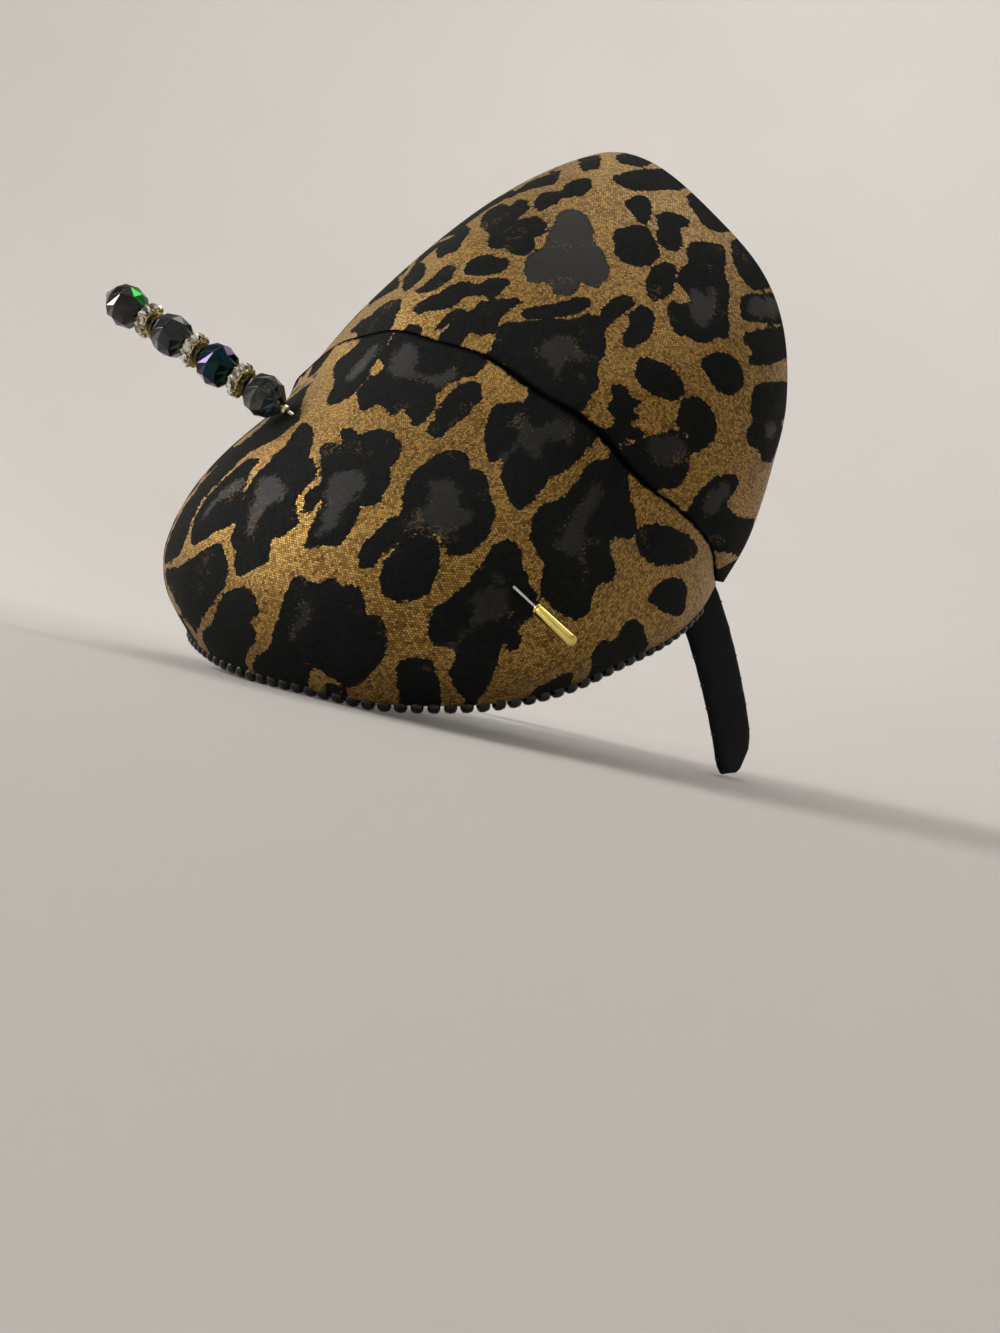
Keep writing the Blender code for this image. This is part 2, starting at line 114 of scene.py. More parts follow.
# Hat pin, in the frame of the hat before it leans.
PIN_ENTRY = Vector((-17.7, -63.2, 106.2))
PIN_EXIT = Vector((64, -61.5, 74.5))
BEAD_DIRECTION = Vector((-0.836, -0.346, 0.424)).normalized()
CLUTCH_DIRECTION = Vector((0.90, 0.0, -0.43)).normalized()
FIRST_BEAD = 9.6        # from the entry to the fourth crystal's middle
BEAD_PITCH = 16.1
CRYSTAL_RADIUS = 6.0
CRYSTAL_FLAT = 5.72     # from its middle to the flat round each hole
DRILL_RADIUS = 0.75
STONES = 9              # set in each ring
STONE_SEAT = 4.0        # from the pin's line to a stone's girdle
CLAW_SEAT = 4.25
CLAW_SIDE = 1.25        # each way from the ring's middle
GUARD_MOUTH = 8.4       # from the cloth to the guard's mouth
GUARD_RADIUS = 1.5
GUARD_STRAIGHT = 11.4
GUARD_NOSE = 1.6

# Headband and its stitches.
BAND_TIP = Vector((0, 51.5, 0))
BAND_LEAN = 23.0
BAND_HALF_SPAN = 62.5   # to the outer face
BAND_CROWN = 121.0      # height of the outer face over the tips
BAND_TIP_ANGLE = -16.0
BAND_SQUARENESS = 2.3
BAND_HALF_WIDTH = 9.0
BAND_HALF_THICK = 1.5
BAND_STEPS = 240        # along the band
BAND_AROUND = 28        # and round it
BAND_STITCHES = 9.2     # from one stitch to the next
RIM_STITCHES = 5.2

# Turned shapes, as a radius and a height for each ring.
RING_PROFILE = (
    (0.8, -1.45), (3.1, -1.45), (3.5, -1.65), (3.85, -1.5), (3.95, -1.1), (3.75, -0.7),
    (3.75, 0.7), (3.95, 1.1), (3.85, 1.5), (3.5, 1.65), (3.1, 1.45), (0.8, 1.45), (0.8, -1.45))
GUARD_MOUTH_PROFILE = (
    (0.8, 0.9), (0.8, 0.15), (0.95, 0.0), (1.2, 0.0), (1.42, 0.12), (1.5, 0.35),
    (1.42, 0.62), (1.36, 0.8), (1.42, 1.0), (1.5, 1.3))
STONE_PROFILE = ((0.70, 1.0), (1.30, 0.48), (1.34, 0.34), (0.9, -0.5))
STAGE_PROFILE = (
    (40, 0), (450, 0), (600, 12), (750, 45), (900, 105), (1050, 200), (1180, 330),
    (1280, 490), (1350, 700), (1400, 1000), (1420, 1900))

# Colours of the brocade, with the stage and the room.
GOLD_LIGHT = (0.345, 0.195, 0.038, 1)
GOLD_DARK = (0.215, 0.112, 0.022, 1)
GOLD_GRAIN = (0.84, 0.55, 0.170, 1)
GOLD_GAP = (0.060, 0.028, 0.007, 1)
GOLD_WORN = (0.045, 0.023, 0.008, 1)
BLACK_DARK = (0.0060, 0.0068, 0.0070, 1)
BLACK_LIGHT = (0.0115, 0.0126, 0.0126, 1)
SATIN_DARK = (0.0110, 0.0110, 0.0108, 1)
SATIN_LIGHT = (0.0230, 0.0218, 0.0190, 1)
GLINT = (0.20, 0.13, 0.050, 1)
# Painted shade for the cloth along the seam, where the two forms meet.
SEAM_SHADE_COLOUR = (0.0007, 0.0006, 0.0005, 1)
PAPER_DARK = (0.64, 0.62, 0.60, 1)
PAPER_LIGHT = (0.69, 0.67, 0.65, 1)
ROOM_LIGHT = (0.93, 0.94, 0.96, 1)

# Looks of the crystals, from the pin's free end, and the painted sparkle of the set stones.
Crystal = namedtuple("Crystal", "tint film clear shares flashes")
CRYSTALS = (
    Crystal((0.006, 0.007, 0.005, 1), 0.0, 0.20, (0.0, 0.0, 0.0, 0.0, 0.0, 0.0, 1.0),
            ((0.01, 0.30, 0.03), (0.02, 0.05, 0.02), (0.09, 0.08, 0.05))),
    Crystal((0.022, 0.026, 0.034, 1), 0.0, 0.60, (0.0, 0.0, 0.0, 0.4),
            ((0.06, 0.08, 0.13), (0.02, 0.03, 0.04), (0.12, 0.14, 0.13))),
    Crystal((0.006, 0.010, 0.013, 1), 380.0, 0.30, (0.0, 0.0, 0.0, 0.7),
            ((0.005, 0.07, 0.06), (0.09, 0.03, 0.13), (0.01, 0.04, 0.09), (0.02, 0.05, 0.02))),
    Crystal((0.050, 0.056, 0.048, 1), 0.0, 0.85, (0.0, 0.0, 0.0, 0.0, 0.6),
            ((0.05, 0.17, 0.22), (0.05, 0.06, 0.05), (0.02, 0.03, 0.03))),
)
STONE_PAINTED_SPARKLE = ((0.95, 0.95, 0.92), (0.62, 0.63, 0.61), (0.06, 0.06, 0.055), (0.75, 0.68, 0.36),
               (0.30, 0.30, 0.26), (0.90, 0.90, 0.84), (0.03, 0.03, 0.03))

# Lights: places count right, up and ahead of the hat's middle, in metres.
Light = namedtuple("Light", "name place target size power colour")
LIGHTS = (
    Light("window", (-1.15, 0.74, -0.02), (0, 0, 0), 0.7, 20.5, (1.0, 0.985, 0.96)),
    Light("ceiling", (-0.25, 1.25, -0.35), (0, 0, 0), 1.0, 1.1, (1.0, 0.975, 0.94)),
    Light("fill", (0.9, 0.35, -0.7), (0, 0, 0), 0.9, 0.12, (1.0, 0.98, 0.95)),
    Light("backdrop", (0.4, 1.20, 0.35), (0.3, 0.25, 1.5), 0.9, 7.5, (1.0, 0.985, 0.965)),
)
HAT_MIDDLE = Vector((0, 0, 0.09))
ROOM_POWER = 0.09

# Leopard spots, charted as outlines seen from the camera, in pixels
# of a picture 1000 wide. Each string is one spot, each pair a point of it.
CAP_SPOTS = (
    "200,552 212,545 222,545 227,560 228,575 222,590 212,605 203,618 196,632 178,634 166,618"
    " 158,602 156,584 164,570 180,566 188,560",
    "222,596 232,589 243,587 253,592 257,602 258,615 250,622 256,632 254,643 248,652 244,664"
    " 236,670 222,662 210,652 203,641 204,630 212,622 216,610",
    "295,577 308,579 318,583 331,577 339,583 341,589 353,584 361,590 366,604 367,615 377,614"
    " 385,624 387,640 384,656 377,668 368,677 358,685 346,686 334,680 322,672 314,668 308,680"
    " 303,692 288,688 272,682 258,676 252,664 262,652 271,644 272,632 279,617 281,604 287,590",
    "305,690 315,684 330,683 342,686 350,692 352,700 340,702 322,700 308,696",
    "300,425 308,422 313,432 312,445 309,455 314,462 317,472 314,480 306,487 299,495 296,505"
    " 297,515 299,524 290,530 282,537 272,538 270,552 268,562 258,567 248,572 238,577 234,565"
    " 236,552 230,543 234,530 239,515 243,500 248,488 254,476 262,468 270,462 275,452 285,447"
    " 290,438 294,430",
    "260,460 252,470 247,480 243,492 241,505 238,518 228,527 215,532 204,540 193,545 191,534"
    " 195,518 201,506 209,495 219,484 230,474 241,464 251,458",
    "303,396 301,408 299,420 290,428 280,436 268,444 257,448 248,454 238,463 226,475 214,487"
    " 203,499 196,511 190,526 185,542 178,556 166,563 157,550 163,528 172,506 186,484 202,462"
    " 220,441 236,424 254,408 274,394 292,386",
    "342,428 352,428 358,434 366,432 375,429 385,429 395,435 401,443 400,455 396,462 390,468"
    " 391,478 389,486 384,495 378,503 370,506 362,504 359,515 354,525 348,535 342,544 334,548"
    " 322,546 310,549 304,544 308,536 309,527 316,517 320,505 322,499 314,508 308,515 303,510"
    " 305,498 310,490 318,484 322,478 321,465 320,452 324,444 335,443 341,446 340,436",
    "440,453 449,449 459,450 467,455 471,464 470,470 479,469 486,475 489,485 490,496 495,506"
    " 495,516 491,528 486,538 478,545 474,552 462,554 450,557 446,548 441,540 436,534 430,528"
    " 418,532 404,538 394,545 386,553 376,562 368,569 360,568 358,556 362,546 369,537 379,527"
    " 388,519 398,514 402,500 404,487 410,477 419,467 430,459",
    "395,548 402,541 412,536 425,529 432,531 437,540 440,552 440,565 436,578 433,588 425,595"
    " 415,600 402,602 390,599 381,592 380,578 382,566 388,557",
    "492,545 502,540 513,541 521,550 522,562 527,574 530,585 536,592 538,604 534,615 524,622"
    " 520,630 521,640 517,650 510,652 505,645 500,650 497,662 494,672 490,684 484,694 472,699"
    " 460,694 452,684 449,672 454,660 456,650 448,645 440,648 432,644 428,632 429,618 437,608"
    " 446,600 456,592 466,586 472,575 480,563 488,553",
    "400,660 412,658 425,658 434,664 438,675 441,690 441,704 430,707 412,707 402,704 398,692"
    " 396,676",
    "363,342 372,338 382,338 388,340 384,350 378,358 372,368 368,378 360,386 352,396 340,402"
    " 328,405 327,398 334,386 333,375 334,366 340,358 348,352",
    "392,339 405,337 420,339 434,343 448,347 462,351 476,353 490,359 484,368 474,375 464,378"
    " 455,382 446,386 438,394 436,404 431,414 424,422 413,426 408,416 402,408 397,415 389,416"
    " 385,408 378,405 370,408 361,410 357,400 358,390 366,382 376,374 383,366 379,358 385,348",
    "470,381 480,383 483,394 480,402 472,410 462,420 450,430 440,438 430,436 427,428 434,418"
    " 440,408 444,398 452,390 460,384",
    "500,403 511,401 522,403 528,396 538,390 548,396 560,404 572,412 582,420 590,426 597,434"
    " 594,444 586,452 578,460 568,470 558,475 548,478 544,488 538,497 530,504 520,510 512,506"
    " 507,496 503,484 500,474 504,464 500,458 492,466 486,456 484,444 484,432 486,420 490,410",
    "600,458 613,459 623,464 627,476 630,490 632,502 636,516 636,530 630,540 618,537 610,541"
    " 612,556 616,570 611,582 599,586 593,597 591,610 582,620 570,619 558,612 548,603 541,590"
    " 542,576 545,565 538,556 532,544 530,530 533,516 541,506 553,501 565,495 575,483 583,471"
    " 591,462",
    "640,526 652,523 665,524 678,529 690,536 697,546 696,556 686,561 672,565 658,566 646,560"
    " 638,550 636,538",
    "652,592 660,582 672,577 682,580 688,588 686,600 684,612 676,617 664,612 654,606 648,600",
    "594,650 602,640 614,640 622,628 632,619 642,624 646,636 650,646 646,652 634,664 620,670"
    " 604,678 594,680 592,668 591,658",
    "524,694 540,686 556,678 570,672 574,680 560,688 544,694 530,698",
    "290,392 290,384 298,374 306,364 316,354 326,346 334,343 330,352 324,362 318,372 312,382"
    " 306,392 302,402 296,406",
)
CAP_SATIN = (
    "428,482 438,480 450,480 458,486 460,498 462,508 470,512 473,518 466,524 455,528 446,536"
    " 436,538 430,530 432,522 422,526 410,530 404,528 408,520 418,512 427,504 430,492",
    "493,573 502,574 504,584 508,594 512,604 508,614 498,618 488,622 478,625 470,632 462,640"
    " 458,650 450,648 448,644 456,640 462,632 470,624 472,612 472,600 478,590 488,588 492,580",
    "392,358 402,346 414,346 417,358 414,370 428,376 440,374 452,368 456,376 446,384 436,386"
    " 424,380 410,378 396,378 390,370",
    "518,412 524,416 530,424 540,428 550,422 562,420 574,420 574,432 570,444 560,440 548,440"
    " 542,448 540,460 532,458 526,450 516,448 508,456 500,464 499,456 506,450 514,446 518,436"
    " 516,424",
    "592,484 600,482 602,492 598,504 592,514 588,526 584,538 584,552 586,566 578,556 570,552"
    " 560,552 556,544 562,532 568,522 576,512 584,500",
    "262,478 274,476 282,484 286,494 280,500 268,506 258,520 252,534 246,530 250,514 254,498",
    "240,478 242,486 232,494 218,502 208,514 202,520 206,510 216,498 228,486",
    "330,478 346,470 362,474 366,486 356,496 344,508 336,524 324,534 316,534 322,518 326,502",
    "308,600 312,606 308,618 300,632 292,640 290,632 298,616 302,606",
    "372,346 378,346 372,358 362,370 352,380 346,382 352,370 362,358",
)
FLOWER = (
    "555,218 562,211 574,209 584,214 590,221 594,230 594,240 601,250 607,260 610,272 605,280"
    " 598,288 588,286 582,280 578,290 568,295 556,294 550,286 546,280 536,284 528,282 524,272"
    " 525,262 530,254 540,250 545,242 548,232 554,226"
)
LOBE_SPOTS = (
    "350,332 354,326 362,320 370,316 378,308 388,302 400,298 401,306 396,316 392,326 388,332"
    " 375,332 362,333",
    "404,262 412,262 420,262 426,266 424,276 414,286 404,292 402,284 405,274",
    "400,284 390,292 374,302 358,316 343,331 329,346 318,358 310,364 298,368 292,356 304,338"
    " 320,318 338,300 356,284 374,270 392,262",
    "404,276 426,257 458,231 482,213 507,198 535,180 556,168 552,152 520,168 492,184 468,200"
    " 444,222 414,246 396,262",
    "415,291 425,284 434,276 442,268 452,264 456,270 450,280 440,287 430,292 420,293",
    "436,256 438,246 446,236 456,228 466,226 470,232 464,240 458,250 448,254 440,258",
    "486,212 495,207 503,203 510,206 516,200 526,200 530,208 524,214 516,220 524,218 534,216"
    " 543,220 547,228 542,236 534,238 536,246 530,253 520,256 510,254 506,248 498,250 490,248"
    " 486,240 490,236 484,230 480,222",
    "464,268 468,262 478,256 490,254 498,258 508,258 509,266 502,272 492,274 480,276 470,276"
    " 463,272",
    "413,308 420,302 430,296 440,292 450,286 458,282 468,282 478,284 488,278 498,278 508,278"
    " 510,284 504,290 500,296 490,298 478,295 468,296 460,302 450,308 438,310 426,312 416,314",
    "452,320 462,314 472,310 478,302 490,300 505,298 520,298 522,304 512,308 502,318 498,326"
    " 492,334 480,336 470,332 464,340 455,345 445,342 440,334 448,328",
    "404,328 412,323 420,326 428,330 432,338 420,337 408,334",
    "434,330 440,322 447,314 457,308 466,310 461,315 451,321 443,328",
    FLOWER,
    "502,196 510,188 522,180 536,172 548,166 558,164 560,172 557,182 548,186 536,188 522,192"
    " 510,198",
    "536,210 534,202 540,195 550,191 560,192 562,198 556,204 546,209",
    "562,192 566,184 576,180 586,178 592,182 590,190 582,196 572,197 563,198",
    "578,160 586,155 598,153 601,160 599,168 590,170 582,171",
    "616,155 628,155 640,158 650,163 640,167 628,165 618,162",
    "612,178 622,173 636,170 650,169 662,171 674,177 683,184 680,190 664,190 648,191 632,190"
    " 618,184",
    "624,202 634,196 644,195 651,203 652,213 648,222 640,225 635,216 630,210",
    "656,216 666,212 678,214 688,218 688,226 680,230 682,240 678,250 670,252 662,246 656,238"
    " 658,228",
    "614,232 626,226 640,225 650,230 655,240 660,250 657,260 648,266 636,266 624,262 616,256"
    " 614,246",
    "684,188 692,192 700,200 708,206 716,214 724,222 732,231 720,232 708,228 700,220 694,212"
    " 688,202",
    "648,272 658,264 672,262 676,272 675,284 672,292 662,298 652,302 647,294 645,282",
    "688,244 700,241 714,243 724,246 726,258 724,270 728,282 730,295 728,310 730,325 728,338"
    " 716,338 706,344 696,342 688,336 678,336 672,326 668,316 666,306 674,300 682,304 690,300"
    " 684,290 678,282 680,270 688,262 686,252",
    "732,240 742,238 750,246 757,256 764,268 770,280 766,288 756,290 746,284 738,272 732,258",
    "742,296 756,293 770,294 778,297 783,310 784,322 770,324 756,322 744,320 740,308",
    "744,334 756,330 770,328 785,326 787,340 787,356 772,364 756,366 748,360 752,350 744,344",
    "700,362 710,354 722,352 734,358 742,368 745,378 740,390 730,396 720,392 712,384 706,374",
    "636,360 646,357 656,360 666,365 676,372 682,380 684,392 676,400 664,400 654,396 646,390"
    " 638,384 635,372",
    "682,400 692,396 704,400 712,410 717,422 716,436 708,446 698,452 690,450 690,440 684,432"
    " 676,424 678,412",
    "610,386 620,384 628,390 632,398 642,402 634,410 640,416 630,424 640,428 646,434 640,440"
    " 628,440 620,446 612,440 610,430 614,418 606,408 612,398",
    "640,440 652,436 664,432 676,430 688,438 694,448 690,458 690,470 684,480 676,488 664,488"
    " 652,486 642,478 634,468 626,456 620,448 630,444",
    "500,325 515,322 530,320 548,318 560,320 576,318 590,312 600,320 605,330 606,342 606,352"
    " 600,362 596,372 600,382 594,392 588,402 582,412 572,410 560,402 548,392 540,384 528,376"
    " 515,368 502,362 494,354 492,344 496,334",
    "520,312 532,306 546,304 560,302 576,297 590,298 591,305 580,312 566,317 552,318 538,320"
    " 524,320",
    "600,312 608,302 620,295 634,297 632,306 624,314 614,322 604,328 600,320",
    "630,316 638,306 650,308 655,320 652,334 644,342 634,348 626,346 622,336 628,326",
    "756,384 770,382 784,382 787,398 785,414 781,432 777,448 771,462 762,460 758,450 748,444"
    " 746,432 752,422 750,408 752,396",
    "700,490 708,482 718,476 728,473 737,476 738,486 730,498 726,506 734,514 745,518 756,520"
    " 753,532 747,546 740,560 734,574 728,590 716,596 706,584 702,560 702,540 698,528 694,518"
    " 690,508 694,498",
)
LOBE_SATIN = (
    FLOWER,
    "692,290 700,288 706,296 712,286 716,296 716,310 710,322 700,326 692,318 690,304",
    "540,345 548,340 560,336 572,340 580,350 590,355 596,358 582,360 568,360 560,370 558,380"
    " 552,372 548,362 538,354",
    "766,424 776,424 774,436 766,438",
    "648,440 660,436 674,436 684,444 686,454 676,462 662,464 650,456",
    "704,500 716,488 730,484 730,494 720,506 712,516 704,512",
    "750,300 764,298 776,302 778,314 764,318 750,314",
)


def clear_selection():
    """Deselects everything, because an operator acts on all that is selected."""
    for obj in bpy.context.selected_objects:
        obj.select_set(False)


def select_only(obj):
    """Makes one object the selected and the active one."""
    clear_selection()
    obj.select_set(True)
    bpy.context.view_layer.objects.active = obj


def finished(obj, slot, *replaced):
    """Puts a piece's place into its mesh and lets it ride with the hat."""
    select_only(obj)
    bpy.ops.object.transform_apply(location=True, rotation=True, scale=True)
    if obj.matrix_world.determinant() < 0:
        raise ValueError(obj.name)
    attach(obj, "root")
    if replaced:
        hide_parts(*replaced)
    clear_selection()
    return obj


def apply_modifiers(obj):
    """Applies all of an object's modifiers in their order."""
    select_only(obj)
    for modifier in list(obj.modifiers):
        bpy.ops.object.modifier_apply(modifier=modifier.name)


def joined(name, objects):
    """One object from many, under a new name."""
    clear_selection()
    for obj in objects:
        obj.select_set(True)
    bpy.context.view_layer.objects.active = objects[0]
    bpy.ops.object.join()
    result = bpy.context.view_layer.objects.active
    result.name = name
    result.data.name = name
    return result


def placed(template, name, matrix):
    """A copy of a modelled piece with its own mesh, moved by a matrix."""
    obj = bpy.data.objects.new(name, template.data.copy())
    bpy.context.scene.collection.objects.link(obj)
    obj.data.transform(matrix)
    return obj


def unit(vectors):
    """The same directions at length one, for one vector or an array of them."""
    return vectors / np.linalg.norm(vectors, axis=-1, keepdims=True)


def lengths_along(line):
    """Distance along a line from its first point to each of its points."""
    return np.concatenate([[0], np.cumsum(np.linalg.norm(np.diff(line, axis=0), axis=1))])


def along(direction, place):
    """World matrix with +Z along a hat direction, at a hat point in millimetres."""
    turn = Vector(direction).to_track_quat("Z", "Y").to_matrix().to_4x4()
    return LEAN @ Matrix.Translation((Vector(place) - PIVOT) * MM) @ turn


class Recipe:
    """A material with short ways to add and join its nodes."""

    def __init__(self, name):
        self.material = bpy.data.materials.new(name)
        self.material.use_nodes = True
        self.nodes = self.material.node_tree.nodes
        self.links = self.material.node_tree.links
        self.shader = self.nodes["Principled BSDF"]

    def put(self, socket, value):
        """Links a socket, or sets it where the value is a constant."""
        if isinstance(value, bpy.types.NodeSocket):
            self.links.new(value, socket)
        else:
            socket.default_value = value

    def add(self, kind, inputs=None, **settings):
        """A new node with its settings made and its inputs filled."""
        node = self.nodes.new("ShaderNode" + kind)
        for name, value in settings.items():
            setattr(node, name, value)
        for key, value in (inputs or {}).items():
            self.put(node.inputs[key], value)
        return node

    def math(self, operation, first, second=0.0, third=0.0):
        """One sum on up to three values."""
        node = self.add("Math", operation=operation)
        for socket, value in zip(node.inputs, (first, second, third)):
            self.put(socket, value)
        return node.outputs[0]

    def times(self, first, second):
        return self.math("MULTIPLY", first, second)

    def plus(self, first, second):
        return self.math("ADD", first, second)

    def minus(self, first, second):
        return self.math("SUBTRACT", first, second)

    def place(self):
        return self.add("TexCoord").outputs["Object"]

    def weave(self):
        return self.add("UVMap", uv_map="weave").outputs["UV"]

    def field(self, name):
        """A value that the mesh carries at its points."""
        return self.add("Attribute", attribute_name=name).outputs["Fac"]

    def ramp(self, value, low, high, start=0.0, end=1.0):
        """A value taken from one range to another, and held at its ends."""
        node = self.add("MapRange", {
            "Value": value, "From Min": low, "From Max": high, "To Min": start, "To Max": end})
        return node.outputs[0]

    def blend(self, share, first, second):
        """The first colour, with a share of the second over it."""
        node = self.add("Mix", data_type="RGBA")
        self.put(node.inputs[0], share)
        self.put(node.inputs[6], first)
        self.put(node.inputs[7], second)
        return node.outputs[2]

    def noise(self, place, scale, detail=2.0):
        node = self.add("TexNoise", {"Vector": place, "Scale": scale, "Detail": detail})
        return node.outputs["Fac"]

    def grain(self, place, step):
        """One random value for each cell of a grid of threads."""
        snapped = self.add("VectorMath", {0: place, 1: step}, operation="SNAP")
        moved = self.add("VectorMath", {0: snapped.outputs[0], 1: (0.0, 0.0, 7.0)},
                         operation="ADD")
        return self.add("TexWhiteNoise", {"Vector": moved.outputs[0]}).outputs["Value"]

    def surface(self, **values):
        """Sets the shader's sockets, each named with an underscore for a space."""
        for name, value in values.items():
            self.put(self.shader.inputs[name.replace("_", " ")], value)

    def relief(self, height, strength, depth):
        """Fine relief that is too small for the mesh."""
        bump = self.add("Bump", {"Height": height, "Strength": strength, "Distance": depth * MM})
        self.put(self.shader.inputs["Normal"], bump.outputs[0])


def leopard_brocade():
    """Bronze ground in small grains, black spots with woven edges, satin hearts."""
    r = Recipe("leopard_brocade")
    weave = r.weave()
    spot = r.field("spot")
    satin = r.field("satin")
    axes = r.add("SeparateXYZ", {0: weave}).outputs
    down = r.math("DIVIDE", axes[1], GRAIN_DOWN * MM)
    row = r.math("FLOOR", down)
    over = r.plus(r.math("DIVIDE", axes[0], GRAIN_OVER * MM),
                  r.times(r.math("FLOORED_MODULO", row, 2.0), 0.5))
    column = r.math("FLOOR", over)
    cell = r.add("CombineXYZ", {0: column, 1: row, 2: 3.0}).outputs[0]
    chance = r.add("SeparateColor", {0: r.add("TexWhiteNoise", {"Vector": cell}).outputs["Color"]})
    first, second, third = chance.outputs
    off_x = r.math("ABSOLUTE", r.minus(r.math("FRACT", over), 0.5))
    off_y = r.math("ABSOLUTE", r.minus(r.math("FRACT", down), 0.5))
    gap = r.ramp(r.math("MAXIMUM", off_x, off_y), 0.28, 0.47)
    threads = r.add("CombineXYZ", {
        0: r.times(column, GRAIN_OVER * MM), 1: r.times(row, GRAIN_DOWN * MM)}).outputs[0]

    wander = r.minus(r.noise(threads, 380.0, 2.0), 0.5)
    edge = r.plus(spot, r.times(wander, 2.2))
    edge = r.plus(edge, r.times(r.minus(first, 0.5), 0.35))
    black = r.ramp(edge, 0.10, -0.10)
    heart_edge = r.plus(satin, r.times(wander, 4.0))
    heart_edge = r.plus(heart_edge, r.times(r.minus(second, 0.5), 1.2))
    heart = r.times(r.ramp(heart_edge, 0.4, -0.6), black)

    cloudy = r.noise(weave, 34.0, 3.0)
    gold = r.blend(r.ramp(cloudy, 0.32, 0.70), GOLD_LIGHT, GOLD_DARK)
    gold = r.blend(r.ramp(first, 0.15, 1.0, 0.0, 0.68), gold, GOLD_GRAIN)
    gold = r.blend(r.times(gap, 0.88), gold, GOLD_GAP)
    worn = r.plus(second, r.times(r.noise(weave, 120.0, 2.0), 0.55))
    gold = r.blend(r.times(r.math("GREATER_THAN", worn, 1.16), 0.60), gold, GOLD_WORN)

    patch = r.noise(weave, 95.0, 2.0)
    glint = r.times(r.ramp(patch, 0.60, 0.72), r.math("GREATER_THAN", third, 0.66))
    rim_glint = r.times(r.ramp(r.math("ABSOLUTE", heart_edge), 0.9, 0.1),
                        r.math("GREATER_THAN", third, 0.72))
    glint = r.math("MAXIMUM", glint, r.times(rim_glint, r.ramp(patch, 0.44, 0.62)))
    glint = r.times(glint, r.minus(1.0, gap))
    cloth = r.blend(second, BLACK_DARK, BLACK_LIGHT)
    grey = r.blend(third, SATIN_DARK, SATIN_LIGHT)
    cloth = r.blend(heart, cloth, grey)
    cloth = r.blend(r.times(glint, 0.85), cloth, GLINT)
    colour = r.blend(black, gold, cloth)
    # Painted shade along the seam: the colour goes towards near black there, and the gloss goes
    # with it.
    fold = r.ramp(r.field("seam_shade"), 0.7, -0.5)
    colour = r.blend(r.times(fold, 0.85), colour, SEAM_SHADE_COLOUR)

    bare = r.minus(1.0, black)
    shine = r.plus(r.times(bare, 0.72), r.times(glint, 0.3))
    rough = r.plus(r.times(bare, -0.34), 0.82)
    rough = r.minus(rough, r.times(heart, 0.26))
    rough = r.plus(rough, r.times(r.minus(third, 0.5), 0.12))
    gloss = r.plus(0.09, r.times(heart, 0.14))
    gloss = r.plus(gloss, r.times(bare, 0.08))
    gloss = r.times(gloss, r.minus(1.0, fold))
    height = r.times(r.minus(1.0, gap), 0.30)
    height = r.plus(height, r.times(first, 0.20))
    height = r.plus(height, r.times(black, 0.90))
    height = r.minus(height, r.times(heart, 0.35))
    r.surface(Base_Color=colour, Metallic=shine, Roughness=rough, Specular_IOR_Level=gloss)
    r.relief(height, 0.5, 0.28)
    return r.material


def lining_cloth():
    """Plain black lining satin."""
    r = Recipe("black_lining")
    weave = r.weave()
    tiny = r.grain(weave, (0.4 * MM, 0.3 * MM, 1.0))
    cloudy = r.noise(weave, 60.0, 3.0)
    colour = r.blend(r.ramp(cloudy, 0.3, 0.7), (0.006, 0.006, 0.007, 1), (0.013, 0.012, 0.013, 1))
    ribs = r.add("SeparateXYZ", {0: weave})
    weft = r.math("SINE", r.times(ribs.outputs[1], 14000.0))
    height = r.plus(r.times(weft, 0.3), r.times(tiny, 0.4))
    r.surface(Base_Color=colour, Roughness=r.ramp(tiny, 0, 1, 0.42, 0.56))
    r.relief(height, 0.4, 0.2)
    return r.material


def band_cloth():
    """Matt charcoal-black ribbon stretched over the band."""
    r = Recipe("band_ribbon")
    place = r.place()
    cloudy = r.noise(place, 55.0, 3.0)
    threads = r.noise(place, 2400.0, 1.0)
    colour = r.blend(r.ramp(cloudy, 0.3, 0.7),
                     (0.0040, 0.0042, 0.0056, 1), (0.0075, 0.0077, 0.0095, 1))
    colour = r.blend(r.ramp(threads, 0.3, 0.75, 0.0, 0.6), colour, (0.0120, 0.0120, 0.0145, 1))
    ribs = r.add("SeparateXYZ", {0: place})
    rib = r.math("SINE", r.times(ribs.outputs[2], 7800.0))
    puckers = r.noise(place, 150.0, 2.0)
    height = r.plus(r.times(rib, 0.12), r.times(threads, 0.5))
    height = r.plus(height, r.times(puckers, 2.2))
    r.surface(Base_Color=colour, Roughness=r.ramp(threads, 0.2, 0.8, 0.72, 0.9),
              Specular_IOR_Level=0.14)
    r.relief(height, 0.5, 0.3)
    return r.material


def seed_glass():
    """Glossy brown-black glass with a little amber where it is thin."""
    r = Recipe("seed_bead_glass")
    place = r.place()
    cloudy = r.noise(place, 260.0, 2.0)
    colour = r.blend(r.ramp(cloudy, 0.35, 0.7),
                     (0.0040, 0.0030, 0.0026, 1), (0.016, 0.009, 0.005, 1))
    r.surface(Base_Color=colour, Roughness=r.ramp(cloudy, 0.3, 0.7, 0.07, 0.16),
              Specular_IOR_Level=0.45)
    r.relief(cloudy, 0.12, 0.2)
    return r.material


def crystal_glass(name, tint, film, clear):
    """Faceted glass with coated facets, each facet with a flash of its own."""
    r = Recipe(name)
    flash = r.add("Attribute", attribute_name="flash")
    place = r.place()
    cloudy = r.noise(place, 180.0, 2.0)
    share = r.ramp(flash.outputs["Alpha"], 0.0, 1.0)
    colour = r.blend(share, tint, flash.outputs["Color"])
    r.surface(Base_Color=colour, Roughness=r.ramp(cloudy, 0.3, 0.7, 0.015, 0.05),
              Metallic=r.times(share, 0.8), IOR=1.50, Coat_Weight=0.05, Coat_Roughness=0.02,
              Transmission_Weight=clear, Thin_Film_Thickness=film, Thin_Film_IOR=1.36)
    return r.material


